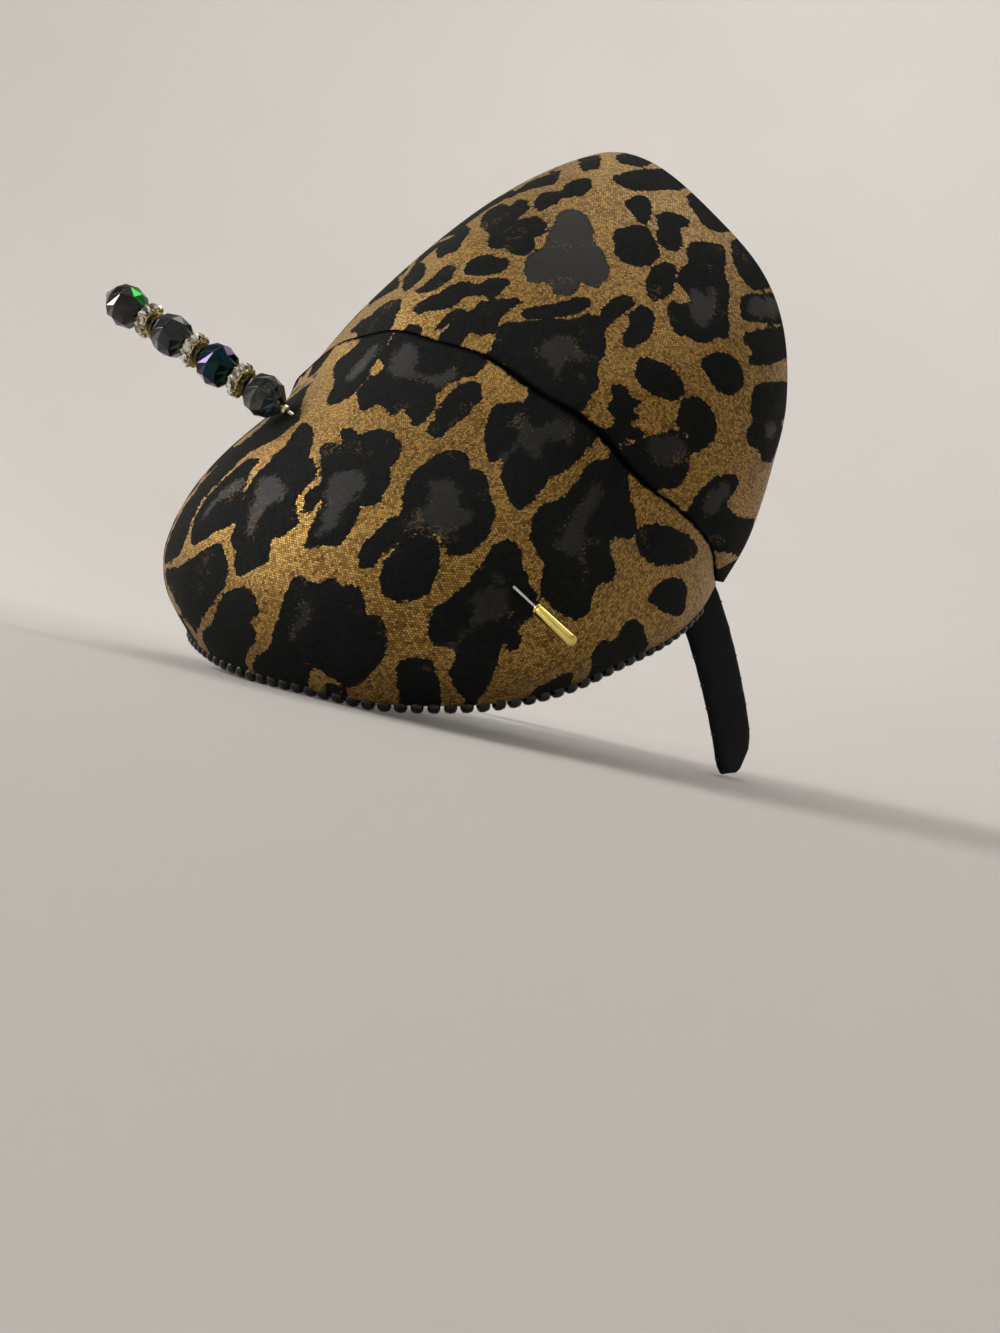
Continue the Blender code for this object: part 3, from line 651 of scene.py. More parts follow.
def metal(name, dark, bright, roughness, scale):
    """Plated or drawn metal with slight handling marks."""
    r = Recipe(name)
    place = r.place()
    cloudy = r.noise(place, scale, 3.0)
    scratch = r.noise(place, scale * 9, 2.0)
    colour = r.blend(r.ramp(cloudy, 0.3, 0.7), dark, bright)
    rough = r.ramp(scratch, 0.3, 0.7, roughness * 0.75, roughness * 1.3)
    r.surface(Base_Color=colour, Roughness=rough, Metallic=1.0)
    r.relief(scratch, 0.06, 0.1)
    return r.material


def clear_stone():
    """Foiled rhinestone with painted reflections: bright facets, some dark and some warm."""
    r = Recipe("foiled_stone")
    flash = r.add("Attribute", attribute_name="flash")
    place = r.place()
    cloudy = r.noise(place, 600.0, 2.0)
    r.surface(Base_Color=flash.outputs["Color"], Roughness=r.ramp(cloudy, 0.3, 0.7, 0.02, 0.08),
              Metallic=0.55, IOR=1.7, Coat_Weight=1.0, Coat_Roughness=0.01)
    return r.material


def thread_cloth():
    """Twisted black sewing thread."""
    r = Recipe("sewing_thread")
    place = r.place()
    twist = r.noise(place, 1900.0, 2.0)
    colour = r.blend(r.ramp(twist, 0.3, 0.7), (0.006, 0.006, 0.007, 1), (0.030, 0.028, 0.028, 1))
    r.surface(Base_Color=colour, Roughness=r.ramp(twist, 0.3, 0.7, 0.55, 0.75))
    r.relief(twist, 0.4, 0.2)
    return r.material


def camera_axes():
    """Right, forward and up of the camera, and its place, in the world."""
    pitch, roll, yaw = (math.radians(a) for a in CAMERA_TURN)
    turn = (Matrix.Rotation(pitch, 3, "X") @ Matrix.Rotation(roll, 3, "Y")
            @ Matrix.Rotation(yaw, 3, "Z"))
    rest = REST.to_3x3()
    right, forward, up = (rest @ turn[k] for k in range(3))
    return right, forward, up, REST @ (CAMERA_PLACE * MM)


RIGHT, FORWARD, UP, EYE = camera_axes()


def sight(x, y):
    """Direction from the camera through a point of the picture."""
    return (FORWARD + RIGHT * ((x - PICTURE[0] / 2) / FOCAL)
            + UP * ((PICTURE[1] / 2 - y) / FOCAL)).normalized()


def make_camera():
    """The camera at the photograph's angle to the hat."""
    data = bpy.data.cameras.new("camera")
    data.sensor_width = SENSOR
    data.lens = SENSOR * FOCAL / PICTURE[1]
    data.clip_start = 0.01
    data.clip_end = 20
    camera = bpy.data.objects.new("camera", data)
    bpy.context.scene.collection.objects.link(camera)
    turn = Matrix((RIGHT, UP, -FORWARD)).transposed()
    camera.matrix_world = Matrix.Translation(EYE) @ turn.to_4x4()
    bpy.context.scene.camera = camera


def cubic(p0, p1, p2, p3, t):
    """The Catmull-Rom curve from the second point to the third."""
    return 0.5 * (2 * p1 + (p2 - p0) * t + (2 * p0 - 5 * p1 + 4 * p2 - p3) * t ** 2
                  + (3 * p1 - p0 - 3 * p2 + p3) * t ** 3)


def smooth_row(rows, position):
    """The smooth curve through some rows, at a position counted in rows."""
    last = len(rows) - 1
    index = min(max(int(math.floor(position)), 0), last - 1)
    p1 = Vector(rows[index])
    p2 = Vector(rows[index + 1])
    p0 = Vector(rows[index - 1]) if index > 0 else 2 * p1 - p2
    p3 = Vector(rows[index + 2]) if index + 2 <= last else 2 * p2 - p1
    return cubic(p0, p1, p2, p3, position - index)


def full_sections():
    """All sections from the right corner through the middle to the left one."""
    def mirrored(section):
        places = [(-p[0], p[1], p[2]) for p in (section.rim, section.seam, section.back)]
        return Section(*places, section.front_bulge, section.back_bulge)

    return [mirrored(s) for s in reversed(HALF_SECTIONS[1:])] + list(HALF_SECTIONS)


def sheet(first_edge, second_edge, bulges, skew):
    """Outer points of a covered form in hat millimetres, an array of rows."""
    last = len(first_edge) - 1
    rows = []
    steps = [j / ACROSS for j in range(ACROSS + 1)]
    coarse = [k / CHORD_STEPS for k in range(CHORD_STEPS + 1)]
    swell = [(1 - abs(2 * (v + skew * v * (1 - v)) - 1) ** BULGE_POWER, 0, 0) for v in coarse]
    shares = [smooth_row(swell, v * CHORD_STEPS).x for v in steps]
    for i in range(ALONG + 1):
        place = last * i / ALONG
        start = smooth_row(first_edge, place)
        end = smooth_row(second_edge, place)
        bulge = smooth_row([(b, 0, 0) for b in bulges], place).x
        before = max(place - 0.01, 0)
        after = min(place + 0.01, last)
        run = (smooth_row(first_edge, after) + smooth_row(second_edge, after)
               - smooth_row(first_edge, before) - smooth_row(second_edge, before))
        out = run.cross(end - start).normalized()
        rows.append([start.lerp(end, v) + out * bulge * s for v, s in zip(steps, shares)])
    return np.array(rows)


def drawn_back(rows, amount):
    """The same surface with its first edge drawn back by some millimetres."""
    result = rows.copy()
    for i, row in enumerate(rows):
        lengths = lengths_along(row)
        start = amount * min(lengths[-1] / 25, 1)
        places = np.linspace(start, lengths[-1], len(row))
        result[i] = np.stack([np.interp(places, lengths, row[:, a]) for a in range(3)], axis=1)
    return result


def outward(rows):
    """Unit normals of a grid of points."""
    return unit(np.cross(np.gradient(rows, axis=0), np.gradient(rows, axis=1)))


def form_points():
    """Outer points of the two forms, with the back one tucked under the front one."""
    sections = full_sections()
    rims = [s.rim for s in sections]
    seams = [s.seam for s in sections]
    backs = [s.back for s in sections]
    cap = sheet(rims, seams, [s.front_bulge for s in sections], FRONT_SKEW)
    lobe = sheet(seams, backs, [s.back_bulge for s in sections], 0.0)
    seam_out = outward(cap)[:, -1]
    beyond = unit(cap[:, -1] - cap[:, -2])
    share = np.sin(np.linspace(0, math.pi, ALONG + 1)) ** 0.3
    shift = -seam_out * SEAM_STEP - beyond * SEAM_TUCK * share[:, None]
    fade = (1 - np.linspace(0, 1, ACROSS + 1)) ** 2
    lobe = lobe + shift[:, None, :] * fade[None, :, None]
    return drawn_back(cap, BEADS_SHOW), lobe


def to_world(points):
    """Hat millimetres to world metres, for an array of points."""
    flat = (points.reshape(-1, 3) - np.array(PIVOT)) * MM
    matrix = np.array(LEAN)
    return (flat @ matrix[:3, :3].T + matrix[:3, 3]).reshape(points.shape)


def settled(points, amount):
    """Slight unevenness, as where padding and glue draw the cloth down."""
    normal = outward(points)
    result = points.copy()
    for i in range(points.shape[0]):
        for j in range(points.shape[1]):
            place = Vector(points[i, j] * 38)
            result[i, j] += normal[i, j] * noise.noise(place) * amount
    return result


def closed_curve(points, parts=3):
    """More points on a smooth closed line through the given ones."""
    count = len(points)
    result = []
    for k in range(count):
        four = [np.array(points[(k + d) % count], float) for d in (-1, 0, 1, 2)]
        result += [cubic(*four, step / parts) for step in range(parts)]
    return result


def charted(outline, tree, points, hidden):
    """A charted outline laid on a form: its grid places and its world points.

    A point that misses the form lies past its visible edge, so it goes to the
    nearest place a little behind that edge. A point close to the rim or the
    seam goes past it, so that the spot runs over the edge of the cloth.
    """
    pixels = closed_curve([tuple(map(float, pair.split(","))) for pair in outline.split()])
    hits = [tree.ray_cast(EYE, sight(x, y)) for x, y in pixels]
    depths = sorted(hit[3] for hit in hits if hit[0] is not None)
    if not depths:
        return None
    middle = depths[len(depths) // 2]
    beyond = max(d for d in depths if d - middle < SPOT_DEPTH * MM) + BEHIND_EDGE * MM
    grid = []
    world = []
    for (x, y), hit in zip(pixels, hits):
        place, _, face, depth = hit
        if place is None or abs(depth - middle) > SPOT_DEPTH * MM:
            place, _, face, _ = tree.find_nearest(EYE + sight(x, y) * beyond)
        i, j = divmod(face, ACROSS)
        corner = points[i, j]
        run = points[i + 1, j] - corner
        rise = points[i, j + 1] - corner
        offset = np.array(place) - corner
        u = i + float(offset @ run / (run @ run))
        v = j + float(offset @ rise / (rise @ rise))
        step = np.linalg.norm(points[i, -1] - points[i, 0]) / ACROSS
        over = 0.0
        if v * step < NEAR_RIM * MM + hidden:
            over = -RUN_OVER * MM
        elif (ACROSS - v) * step < NEAR_SEAM * MM:
            over = RUN_OVER * MM
        grid.append((u, v + over / step))
        world.append(np.array(place) + unit(rise) * over)
    return np.array(grid), np.array(world)


def distance_field(outlines, points, hidden):
    """Millimetres from each grid point to the nearest outline, negative inside.

    The back form's first edge is hidden that many metres deep, under the front one.
    """
    height, width = points.shape[:2]
    faces = [(i * width + j, (i + 1) * width + j, (i + 1) * width + j + 1, i * width + j + 1)
             for i in range(height - 1) for j in range(width - 1)]
    tree = BVHTree.FromPolygons([Vector(p) for p in points.reshape(-1, 3)], faces)
    field = np.full((height, width), FAR_FIELD)
    cols, rows = np.meshgrid(np.arange(width), np.arange(height))
    for outline in outlines:
        laid = charted(outline, tree, points, hidden)
        if laid is None:
            continue
        grid, world = laid
        low = np.maximum(np.floor(grid.min(0)).astype(int) - 6, 0)
        high = np.minimum(np.ceil(grid.max(0)).astype(int) + 7, (height, width))
        window = (slice(low[0], high[0]), slice(low[1], high[1]))
        u, v = rows[window].astype(float), cols[window].astype(float)
        place = points[window]
        inside = np.zeros(u.shape, bool)
        best = np.full(u.shape, 1.0)
        for k in range(len(grid)):
            (u0, v0), (u1, v1) = grid[k - 1], grid[k]
            if v0 != v1:
                crosses = ((v0 > v) != (v1 > v)) & (u < (u1 - u0) * (v - v0) / (v1 - v0) + u0)
                inside ^= crosses
            start, line = world[k - 1], world[k] - world[k - 1]
            length = max(float(line @ line), 1e-12)
            share = np.clip(((place - start) @ line) / length, 0, 1)
            away = np.linalg.norm(place - start - share[..., None] * line, axis=2)
            best = np.minimum(best, away)
        signed = np.where(inside, -best, best) / MM
        field[window] = np.minimum(field[window], signed)
    return field


def both_sides(field, points):
    """The chart on the near side and its mirror image on the far side.

    Also gives how far each point faces the near side, from 1 to -1.
    """
    facing = (outward(points) * unit(np.array(EYE) - points)).sum(2)
    wander = np.array([[noise.noise(Vector(p) * 45) for p in row] for row in points])
    wander *= JOIN_WANDER
    own = np.maximum(field, (wander - facing - 0.03) * JOIN_SLOPE)
    shifted = np.roll(field[::-1], CHART_SHIFT, axis=0)
    far = np.maximum(shifted, (facing - wander + 0.05) * JOIN_SLOPE)
    return np.minimum(own, far), facing


def veins(points, facing):
    """Thin lines of ground between spots that lie together near the visible edge."""
    apart = np.zeros(facing.shape)
    for i, j in np.ndindex(facing.shape):
        place = Vector(points[i, j])
        bent = place + noise.noise_vector(place * 90) * VEIN_BEND * MM
        near = noise.voronoi(bent / (VEIN_CELL * MM))[0]
        apart[i, j] = near[1] - near[0]
    line = VEIN_WIDTH - apart * VEIN_CELL / 2
    outside = np.maximum(0, facing - 0.16) * 50 + np.maximum(0, -0.05 - facing) * 150
    return line - outside


def far_from(points, places):
    """Millimetres from each grid point to a place, or to the place of its own row."""
    return np.linalg.norm(points - places, axis=2) / MM


def cloth_fields(world, spots, hearts, front):
    """What the brocade reads at each point: spot, satin and the painted shade along the seam."""
    hidden = 0 if front else SEAM_TUCK * MM
    spot, facing = both_sides(distance_field(spots, world, hidden), world)
    satin, _ = both_sides(distance_field(hearts, world, hidden), world)
    spot = np.maximum(spot, veins(world, facing))
    # Painted shade: on both forms a strip along the seam becomes black cloth, as the seam's shadow
    # line.
    if front:
        to_seam = far_from(world, world[:, -1:]) - SEAM_PAINTED_SHADE
    else:
        to_seam = far_from(world, world[:, :1]) - SEAM_TUCK - TUCK_PAINTED_SHADE
        for end in (0, -1):
            corner = world[end, ACROSS // 2]
            spot = np.minimum(spot, far_from(world, corner) - CORNER_BLACK)
    return {"spot": np.minimum(spot, to_seam),
            "satin": np.maximum(satin, SEAM_MATT - to_seam),
            "seam_shade": np.clip(to_seam, -FAR_FIELD, FAR_FIELD)}


def cloth_sheet(name, world, fields):
    """A grid of cloth at its world points, with each vertex's two grid places."""
    clear_selection()
    bpy.ops.mesh.primitive_grid_add(x_subdivisions=ALONG, y_subdivisions=ACROSS, size=1)
    form = bpy.context.active_object
    form.name = name
    mesh = form.data
    mesh.name = name
    flat = np.zeros(len(mesh.vertices) * 3)
    mesh.vertices.foreach_get("co", flat)
    flat = flat.reshape(-1, 3)
    i = np.rint((flat[:, 0] + 0.5) * ALONG).astype(int)
    j = np.rint((flat[:, 1] + 0.5) * ACROSS).astype(int)
    mesh.vertices.foreach_set("co", world[i, j].ravel())
    for label, field in fields.items():
        layer = mesh.attributes.new(label, "FLOAT", "POINT")
        layer.data.foreach_set("value", field[i, j].astype(np.float32))

    run = lengths_along(world[:, ACROSS // 2])
    rise = np.stack([lengths_along(line) for line in world])
    while mesh.uv_layers:
        mesh.uv_layers.remove(mesh.uv_layers[0])
    weave = mesh.uv_layers.new(name="weave")
    corners = np.zeros(len(mesh.loops), int)
    mesh.loops.foreach_get("vertex_index", corners)
    uv = np.stack([run[i[corners]], rise[i[corners], j[corners]]], axis=1)
    weave.data.foreach_set("uv", uv.astype(np.float32).ravel())
    return form, i, j


def thin_edges(form, i, j, front):
    """Weights for a wall that thins at its corners, and at the front form's edges."""
    group = form.vertex_groups.new(name="wall")
    side = np.clip((1 - np.abs(2 * i / ALONG - 1)) * THIN_STEPS, 0, 1)
    edge = np.clip(np.minimum(ACROSS - j, j + 1) / THIN_STEPS, 0, 1) if front else 1.0
    for k, value in enumerate(0.50 + 0.50 * np.minimum(side, edge)):
        group.add([k], float(value), "REPLACE")


def covered_form(name, points, spots, hearts, front, cloths, replaced):
    """A cloth-covered wall under a grid of outer points, which it gives back."""
    world = settled(to_world(points), UNEVEN * MM)
    form, i, j = cloth_sheet(name, world, cloth_fields(world, spots, hearts, front))
    for cloth in cloths:
        form.data.materials.append(cloth)
    thin_edges(form, i, j, front)
    wall = form.modifiers.new("wall", "SOLIDIFY")
    wall.thickness = WALL * MM
    wall.offset = -1
    wall.vertex_group = "wall"
    wall.material_offset = 1
    wall.material_offset_rim = 0
    fold = form.modifiers.new("folded_edge", "BEVEL")
    fold.width = FOLD_RADIUS * MM
    fold.segments = 3
    fold.limit_method = "ANGLE"
    fold.angle_limit = math.radians(55)
    apply_modifiers(form)
    bpy.ops.object.shade_smooth_by_angle(angle=math.radians(60))
    finished(form, "bronze_leopard_brocade", replaced)
    return world


def turned(name, profile, sides):
    """A lathe shape on +Z in millimetres, drawn up ring by ring from its start."""
    clear_selection()
    radius, height = profile[0]
    bpy.ops.mesh.primitive_circle_add(vertices=sides, radius=radius * MM, fill_type="NOTHING",
                                      location=(0, 0, height * MM))
    obj = bpy.context.active_object
    obj.name = name
    bpy.ops.object.transform_apply(location=True)
    bpy.ops.object.mode_set(mode="EDIT")
    bpy.ops.mesh.select_all(action="SELECT")
    for (r0, z0), (r1, z1) in zip(profile[:-1], profile[1:]):
        bpy.ops.mesh.extrude_region_move(
            TRANSFORM_OT_translate={"value": (0, 0, (z1 - z0) * MM)})
        bpy.ops.transform.resize(value=(r1 / r0, r1 / r0, 1), center_override=(0, 0, z1 * MM))
    bpy.ops.mesh.select_all(action="SELECT")
    bpy.ops.mesh.remove_doubles(threshold=0.002 * MM)
    bpy.ops.mesh.normals_make_consistent(inside=False)
    bpy.ops.object.mode_set(mode="OBJECT")
    return obj


def capped(obj, inside=False):
    """Closes a turned shape's open ends; its faces point out, or in for a room."""
    select_only(obj)
    bpy.ops.object.mode_set(mode="EDIT")
    bpy.ops.mesh.select_all(action="SELECT")
    bpy.ops.mesh.fill_holes(sides=0)
    bpy.ops.mesh.normals_make_consistent(inside=inside)
    bpy.ops.object.mode_set(mode="OBJECT")
    return obj


def facet_flashes(mesh, colours, shares, seed):
    """A colour and a strength of coating for each facet."""
    layer = mesh.color_attributes.new("flash", "FLOAT_COLOR", "CORNER")
    chance = np.random.default_rng(seed)
    for face in mesh.polygons:
        tone = colours[int(chance.integers(len(colours)))]
        share = float(chance.choice(shares))
        light = float(chance.uniform(0.6, 1.3))
        for corner in face.loop_indices:
            layer.data[corner].color = (*(min(c * light, 1.0) for c in tone), share)


def cut_crystal():
    """A round bead cut in flat facets in staggered rows, drilled through."""
    clear_selection()
    bpy.ops.mesh.primitive_uv_sphere_add(segments=10, ring_count=6, radius=CRYSTAL_RADIUS * MM)
    bead = bpy.context.active_object
    turn = math.pi / 10
    rows = sorted({round(v.co.z, 6) for v in bead.data.vertices})
    for vertex in bead.data.vertices:
        row = rows.index(round(vertex.co.z, 6))
        if row % 2:
            vertex.co = Matrix.Rotation(turn, 3, "Z") @ vertex.co
        if abs(vertex.co.z) > (CRYSTAL_RADIUS - 0.1) * MM:
            vertex.co.z = math.copysign(CRYSTAL_FLAT * MM, vertex.co.z)
    bpy.ops.object.mode_set(mode="EDIT")
    bpy.ops.mesh.select_all(action="SELECT")
    bpy.ops.mesh.convex_hull()
    bpy.ops.mesh.select_all(action="SELECT")
    bpy.ops.mesh.dissolve_limited(angle_limit=math.radians(3))
    bpy.ops.object.mode_set(mode="OBJECT")
    clear_selection()
    bpy.ops.mesh.primitive_cylinder_add(vertices=16, radius=DRILL_RADIUS * MM, depth=14 * MM)
    drill = bpy.context.active_object
    hole = bead.modifiers.new("drilled", "BOOLEAN")
    hole.operation = "DIFFERENCE"
    hole.solver = "EXACT"
    hole.object = drill
    worn = bead.modifiers.new("worn_edges", "BEVEL")
    worn.width = 0.06 * MM
    worn.segments = 1
    worn.limit_method = "ANGLE"
    worn.angle_limit = math.radians(8)
    apply_modifiers(bead)
    bpy.data.objects.remove(drill, do_unlink=True)
    return bead


def cut_stone():
    """A small brilliant: table, eight crown facets, girdle and base, on +Z."""
    return capped(turned("stone", STONE_PROFILE, 8))


def make_rondelles(gold, foil):
    """Metal rings with set stones, each between two crystals."""
    ring = turned("ring", RING_PROFILE, 54)
    ring.data.materials.append(gold)
    stone = cut_stone()
    stone.data.materials.append(foil)
    clear_selection()
    bpy.ops.mesh.primitive_uv_sphere_add(segments=8, ring_count=6, radius=0.36 * MM)
    prong = bpy.context.active_object
    prong.data.materials.append(gold)
    for k in range(3):
        where = along(BEAD_DIRECTION, PIN_ENTRY + BEAD_DIRECTION * (
            FIRST_BEAD + (2.5 - k) * BEAD_PITCH))
        parts = [placed(ring, "ring_part", where)]
        for s in range(STONES):
            angle = 2 * math.pi * (s + 0.3 * k) / STONES
            seat = (where @ Matrix.Rotation(angle, 4, "Z")
                    @ Matrix.Translation((STONE_SEAT * MM, 0, 0))
                    @ Matrix.Rotation(math.pi / 2, 4, "Y") @ Matrix.Scale(1.05, 4))
            gem = placed(stone, "stone_part", seat)
            # Painted reflections: each facet gets one of the bright, grey, dark and warm tones at
            # random.
            facet_flashes(gem.data, STONE_PAINTED_SPARKLE, (1.0,), 40 * k + s)
            parts.append(gem)
            for side in (-CLAW_SIDE, CLAW_SIDE):
                claw = (where @ Matrix.Rotation(angle + math.pi / STONES, 4, "Z")
                        @ Matrix.Translation((CLAW_SEAT * MM, 0, side * MM)))
                parts.append(placed(prong, "prong_part", claw))
        rondelle = joined(f"stone_rondelle_{k + 1}", parts)
        finished(rondelle, "rhinestone_setting", f"rhinestone_rondelle_{k + 1}")
    for obj in (ring, stone, prong):
        bpy.data.objects.remove(obj, do_unlink=True)


def make_crystals():
    """Four crystals on the pin, each with glass of its own tint."""
    bead = cut_crystal()
    for k, look in enumerate(CRYSTALS):
        where = along(BEAD_DIRECTION, PIN_ENTRY + BEAD_DIRECTION * (
            FIRST_BEAD + (3 - k) * BEAD_PITCH))
        crystal = placed(bead, f"cut_crystal_{k + 1}",
                         where @ Matrix.Rotation(0.37 * k, 4, "Z"))
        facet_flashes(crystal.data, look.flashes, look.shares, 7 + k)
        crystal.data.materials.append(
            crystal_glass(f"crystal_{k + 1}_glass", look.tint, look.film, look.clear))
        finished(crystal, "smoke_crystal", f"crystal_bead_{k + 1}")
    bpy.data.objects.remove(bead, do_unlink=True)


def make_clutch(gold):
    """The bullet guard on the pin's point, with a rolled mouth."""
    profile = [*GUARD_MOUTH_PROFILE, (GUARD_RADIUS, GUARD_STRAIGHT)]
    for angle in range(10, 90, 10):
        a = math.radians(angle)
        profile.append((GUARD_RADIUS * math.cos(a), GUARD_STRAIGHT + GUARD_NOSE * math.sin(a)))
    profile.append((0.02, GUARD_STRAIGHT + GUARD_NOSE))
    clutch = turned("bullet_clutch", profile, 36)
    clutch.data.transform(along(CLUTCH_DIRECTION, PIN_EXIT + CLUTCH_DIRECTION * GUARD_MOUTH))
    clutch.data.materials.append(gold)
    select_only(clutch)
    bpy.ops.object.shade_smooth_by_angle(angle=math.radians(40))
    finished(clutch, "pale_gold", "pin_clutch")


def make_seed_beads(cap, glass):
    """Drilled seed beads sewn side by side inside the front form's edge."""
    clear_selection()
    bpy.ops.mesh.primitive_torus_add(major_segments=12, minor_segments=8,
                                     major_radius=SEED_RING * MM, minor_radius=SEED_BODY * MM)
    bead = bpy.context.active_object
    bead.data.transform(Matrix.Diagonal((1, 1, SEED_STRETCH, 1)))
    upright = np.array(LEAN.to_3x3() @ Vector((0, 0, 1)))
    ahead = unit(np.gradient(cap[:, 0], axis=0))
    side = unit(np.cross(ahead, upright))
    down = np.cross(ahead, side)
    line = cap[:, 0] - side * 1.0 * MM + down * 0.5 * MM
    run = lengths_along(line)
    start = run[int(0.05 * ALONG)]
    end = run[int(0.95 * ALONG)]
    count = int((end - start) / (SEED_PITCH * MM))
    beads = []
    for k in range(count):
        at = start + (end - start) * (k + 0.5) / count
        place = Vector([np.interp(at, run, line[:, axis]) for axis in range(3)])
        beyond = Vector([np.interp(at + 2 * MM, run, line[:, axis]) for axis in range(3)])
        turn = (beyond - place).to_track_quat("Z", "Y").to_matrix().to_4x4()
        size = 1 + 0.05 * math.sin(k * 12.9)
        place.z = max(place.z, SEED_RADIUS * MM * size)
        beads.append(placed(bead, "seed_bead", Matrix.Translation(place) @ turn
                            @ Matrix.Rotation(0.12 * math.sin(k * 7.3), 4, "X")
                            @ Matrix.Scale(size, 4)))
    bpy.data.objects.remove(bead, do_unlink=True)
    row = joined("sewn_seed_beads", beads)
    row.data.materials.append(glass)
    select_only(row)
    bpy.ops.object.shade_smooth()
    finished(row, "dark_glass_beads", "bead_edging")


def signed_power(value, power):
    """A power that keeps the value's sign."""
    return math.copysign(abs(value) ** power, value)


def band_line(steps):
    """Centre line of the headband in its own leaning plane, in millimetres."""
    half_span = BAND_HALF_SPAN - BAND_HALF_THICK
    crown = BAND_CROWN - BAND_HALF_THICK
    tip = math.radians(BAND_TIP_ANGLE)
    power = 2 / BAND_SQUARENESS
    rise = signed_power(math.sin(tip), power)
    height = crown / (1 - rise)
    points = []
    for k in range(steps + 1):
        angle = tip + (math.pi - 2 * tip) * k / steps
        points.append((half_span * signed_power(math.cos(angle), power), 0.0,
                       height * (signed_power(math.sin(angle), power) - rise)))
    return np.array(points)


def rod(name, around, steps):
    """A rod of unit size along Z, cut into rings."""
    clear_selection()
    bpy.ops.mesh.primitive_cylinder_add(vertices=around, end_fill_type="NGON", radius=1, depth=1)
    obj = bpy.context.active_object
    obj.name = name
    bpy.ops.object.mode_set(mode="EDIT")
    bpy.ops.mesh.select_mode(type="EDGE")
    bpy.ops.mesh.select_all(action="DESELECT")
    bpy.ops.object.mode_set(mode="OBJECT")
    for edge in obj.data.edges:
        a, b = (obj.data.vertices[v].co for v in edge.vertices)
        edge.select = abs(a.z - b.z) > 0.5
    bpy.ops.object.mode_set(mode="EDIT")
    bpy.ops.mesh.subdivide(number_cuts=steps - 1)
    bpy.ops.object.mode_set(mode="OBJECT")
    return obj


def knot(segments, radius, stretch):
    """One stitch of thread as a small stretched ball."""
    clear_selection()
    bpy.ops.mesh.primitive_uv_sphere_add(segments=segments, ring_count=6, radius=radius * MM)
    obj = bpy.context.active_object
    obj.data.transform(Matrix.Diagonal((*stretch, 1)))
    return obj


def sewn_row(name, stitch, places, thread, slot):
    """Copies of a stitch at all its places, as one row."""
    row = joined(name, [placed(stitch, "stitch", place) for place in places])
    bpy.data.objects.remove(stitch, do_unlink=True)
    row.data.materials.append(thread)
    finished(row, slot)


def make_headband(ribbon, thread):
    """A ribbon-covered strip with soft edges and rounded tips, whipped inside."""
    lean = REST @ Matrix.Translation(BAND_TIP * MM) @ Matrix.Rotation(
        math.radians(BAND_LEAN), 4, "X")
    line = band_line(BAND_STEPS) * MM
    tangent = unit(np.gradient(line, axis=0))
    out = np.stack([tangent[:, 2], np.zeros(BAND_STEPS + 1), -tangent[:, 0]], axis=1)
    run = lengths_along(line)
    band = rod("ribbon_headband", BAND_AROUND, BAND_STEPS)
    for vertex in band.data.vertices:
        at = (vertex.co.z + 0.5) * BAND_STEPS
        k = min(int(at), BAND_STEPS - 1)
        share = at - k
        centre, lift, far = (row[k] * (1 - share) + row[k + 1] * share
                             for row in (line, out, run))
        angle = math.atan2(vertex.co.y, vertex.co.x)
        reach = min(min(far, run[-1] - far) / (BAND_HALF_WIDTH * MM), 1)
        half_width = BAND_HALF_WIDTH * MM * (0.22 + 0.78 * math.sqrt(1 - (1 - reach) ** 2))
        pucker = math.sin(far / (BAND_STITCHES * MM) * 2 * math.pi)
        ripple = 1 + 0.012 * pucker * abs(math.cos(angle))
        across = signed_power(math.cos(angle), 0.42) * half_width * ripple
        through = signed_power(math.sin(angle), 0.75) * BAND_HALF_THICK * MM
        place = centre + lift * through
        vertex.co = lean @ Vector((place[0], place[1] + across, place[2]))
    select_only(band)
    bpy.ops.object.mode_set(mode="EDIT")
    bpy.ops.mesh.select_all(action="SELECT")
    bpy.ops.mesh.normals_make_consistent(inside=False)
    bpy.ops.object.mode_set(mode="OBJECT")
    band.data.materials.append(ribbon)
    bpy.ops.object.shade_smooth_by_angle(angle=math.radians(50))
    finished(band, "black_band_cloth", "headband")

    gap = BAND_STITCHES * MM
    places = []
    for k in range(1, int(run[-1] / gap)):
        index = int(np.searchsorted(run, k * gap))
        turn = Vector(out[index]).to_track_quat("X", "Z").to_matrix().to_4x4()
        for side in (-1, 1):
            place = line[index] + np.array([0, side * (BAND_HALF_WIDTH - 0.05) * MM, 0])
            places.append(lean @ Matrix.Translation(place) @ turn
                          @ Matrix.Rotation(0.5 * side, 4, "Y"))
    sewn_row("band_stitches", knot(10, 0.5, (1.8, 0.6, 0.8)), places, thread, "black_band_cloth")


def make_rim_stitches(lobe, thread):
    """Small pick stitches over the back form's free edge."""
    rim = lobe[:, -1]
    normal = outward(lobe)[:, -1]
    beyond = unit(rim - lobe[:, -2])
    run = lengths_along(rim)
    gap = RIM_STITCHES * MM
    places = []
    for k in range(3, int(run[-1] / gap) - 2):
        index = int(np.searchsorted(run, k * gap))
        place = Vector(rim[index] - normal[index] * 0.9 * MM + beyond[index] * 0.02 * MM)
        turn = Vector(normal[index]).to_track_quat("Z", "Y").to_matrix().to_4x4()
        places.append(Matrix.Translation(place) @ turn @ Matrix.Rotation(0.35, 4, "X"))
    sewn_row("rim_stitches", knot(8, 0.32, (1.0, 1.0, 2.6)), places, thread,
             "bronze_leopard_brocade")


def make_stage():
    """A wide pale dish: flat underneath, rising gently all round like a backdrop."""
    dish = capped(turned("pale_backdrop", STAGE_PROFILE, 96), inside=True)
    bpy.ops.object.shade_smooth()
    r = Recipe("pale_paper")
    place = r.add("TexCoord").outputs["Object"]
    cloudy = r.noise(place, 3.0, 2.0)
    r.surface(Base_Color=r.blend(cloudy, PAPER_DARK, PAPER_LIGHT),
              Roughness=0.9)
    dish.data.materials.append(r.material)
    clear_selection()


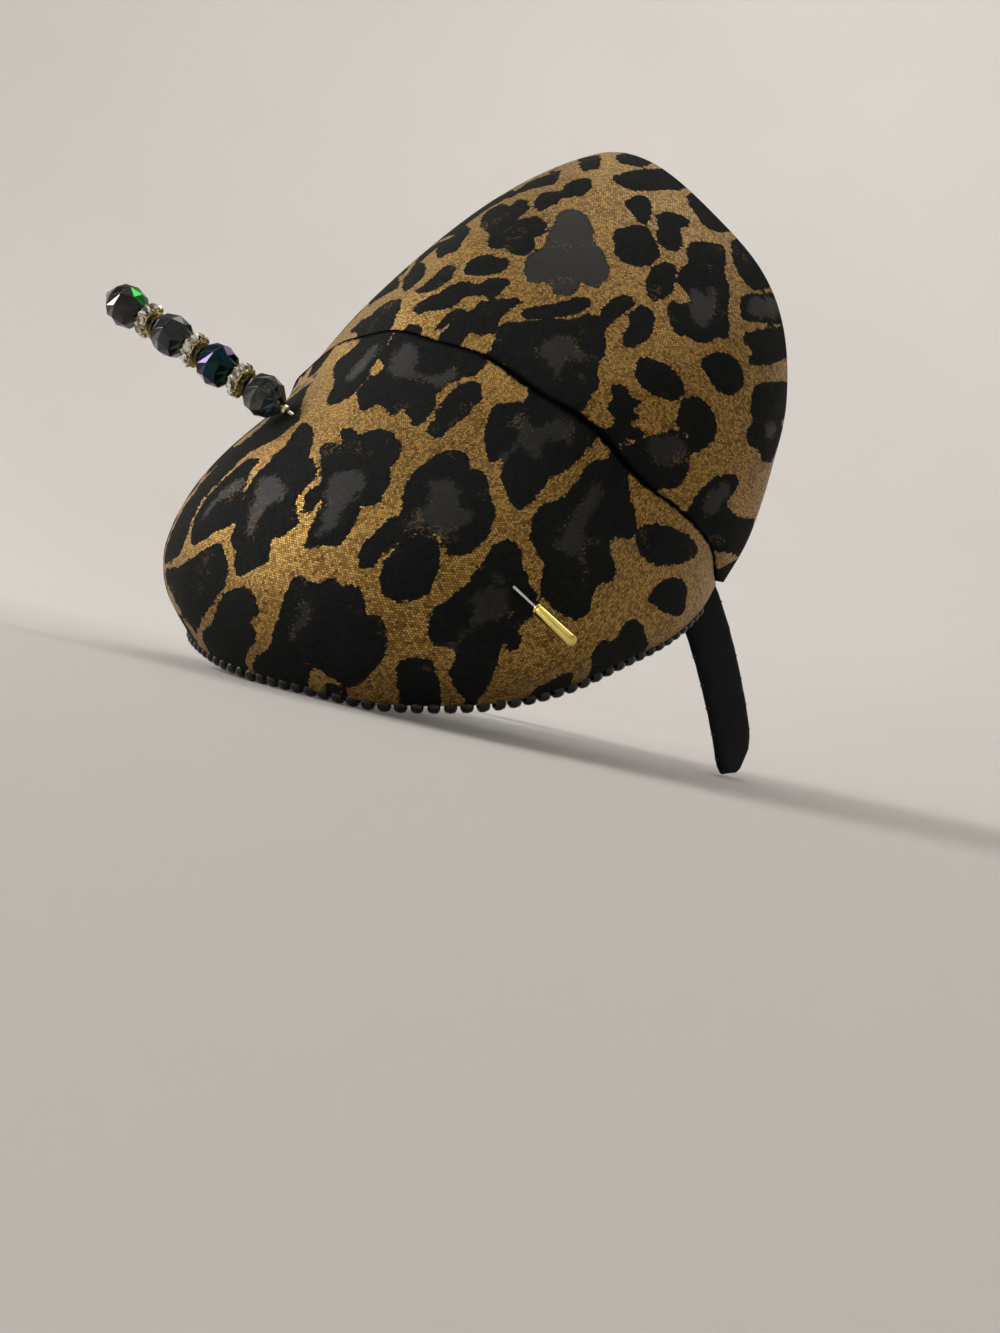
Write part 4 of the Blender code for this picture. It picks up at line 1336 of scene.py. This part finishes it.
def add_light(light):
    """A soft panel that faces its target."""
    data = bpy.data.lights.new(light.name, "AREA")
    data.shape = "SQUARE"
    data.size = light.size
    data.energy = light.power
    data.color = light.colour
    obj = bpy.data.objects.new(light.name, data)
    bpy.context.scene.collection.objects.link(obj)
    place, target = (HAT_MIDDLE + RIGHT * p[0] + UP * p[1] + FORWARD * p[2]
                     for p in (light.place, light.target))
    obj.location = place
    obj.rotation_mode = "QUATERNION"
    obj.rotation_quaternion = (target - place).to_track_quat("-Z", "Y")


def make_lights():
    """The soft panels, a faint even light and plain colours."""
    for light in LIGHTS:
        add_light(light)
    world = bpy.context.scene.world or bpy.data.worlds.new("world")
    bpy.context.scene.world = world
    world.use_nodes = True
    back = world.node_tree.nodes["Background"]
    back.inputs[0].default_value = ROOM_LIGHT
    back.inputs[1].default_value = ROOM_POWER
    bpy.context.scene.view_settings.view_transform = "Standard"


def main():
    """Dresses the whole hat, then sets up the stage."""
    clear_selection()
    cloths = (leopard_brocade(), lining_cloth())
    thread = thread_cloth()
    gold = metal("pale_gold_plate", (0.74, 0.56, 0.13, 1), (0.88, 0.72, 0.22, 1), 0.20, 300.0)
    steel = metal("pin_wire_steel", (0.50, 0.50, 0.49, 1), (0.68, 0.68, 0.67, 1), 0.22, 500.0)
    setting = metal("ring_gold", (0.60, 0.52, 0.25, 1), (0.86, 0.78, 0.44, 1), 0.22, 500.0)

    cap, lobe = form_points()
    cap_world = covered_form("brocade_cap", cap, CAP_SPOTS, CAP_SATIN, True, cloths, "front_cap")
    lobe_world = covered_form("brocade_lobe", lobe, LOBE_SPOTS, LOBE_SATIN, False, cloths,
                              "back_lobe")
    make_seed_beads(cap_world, seed_glass())
    make_rim_stitches(lobe_world, thread)
    make_headband(band_cloth(), thread)
    make_crystals()
    make_rondelles(setting, clear_stone())
    make_clutch(gold)
    for node, finish in (("pin_shaft", steel), ("pin_stop_bead", setting)):
        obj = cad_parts[node]
        obj.data.materials.clear()
        obj.data.materials.append(finish)
    make_stage()
    make_camera()
    make_lights()


main()
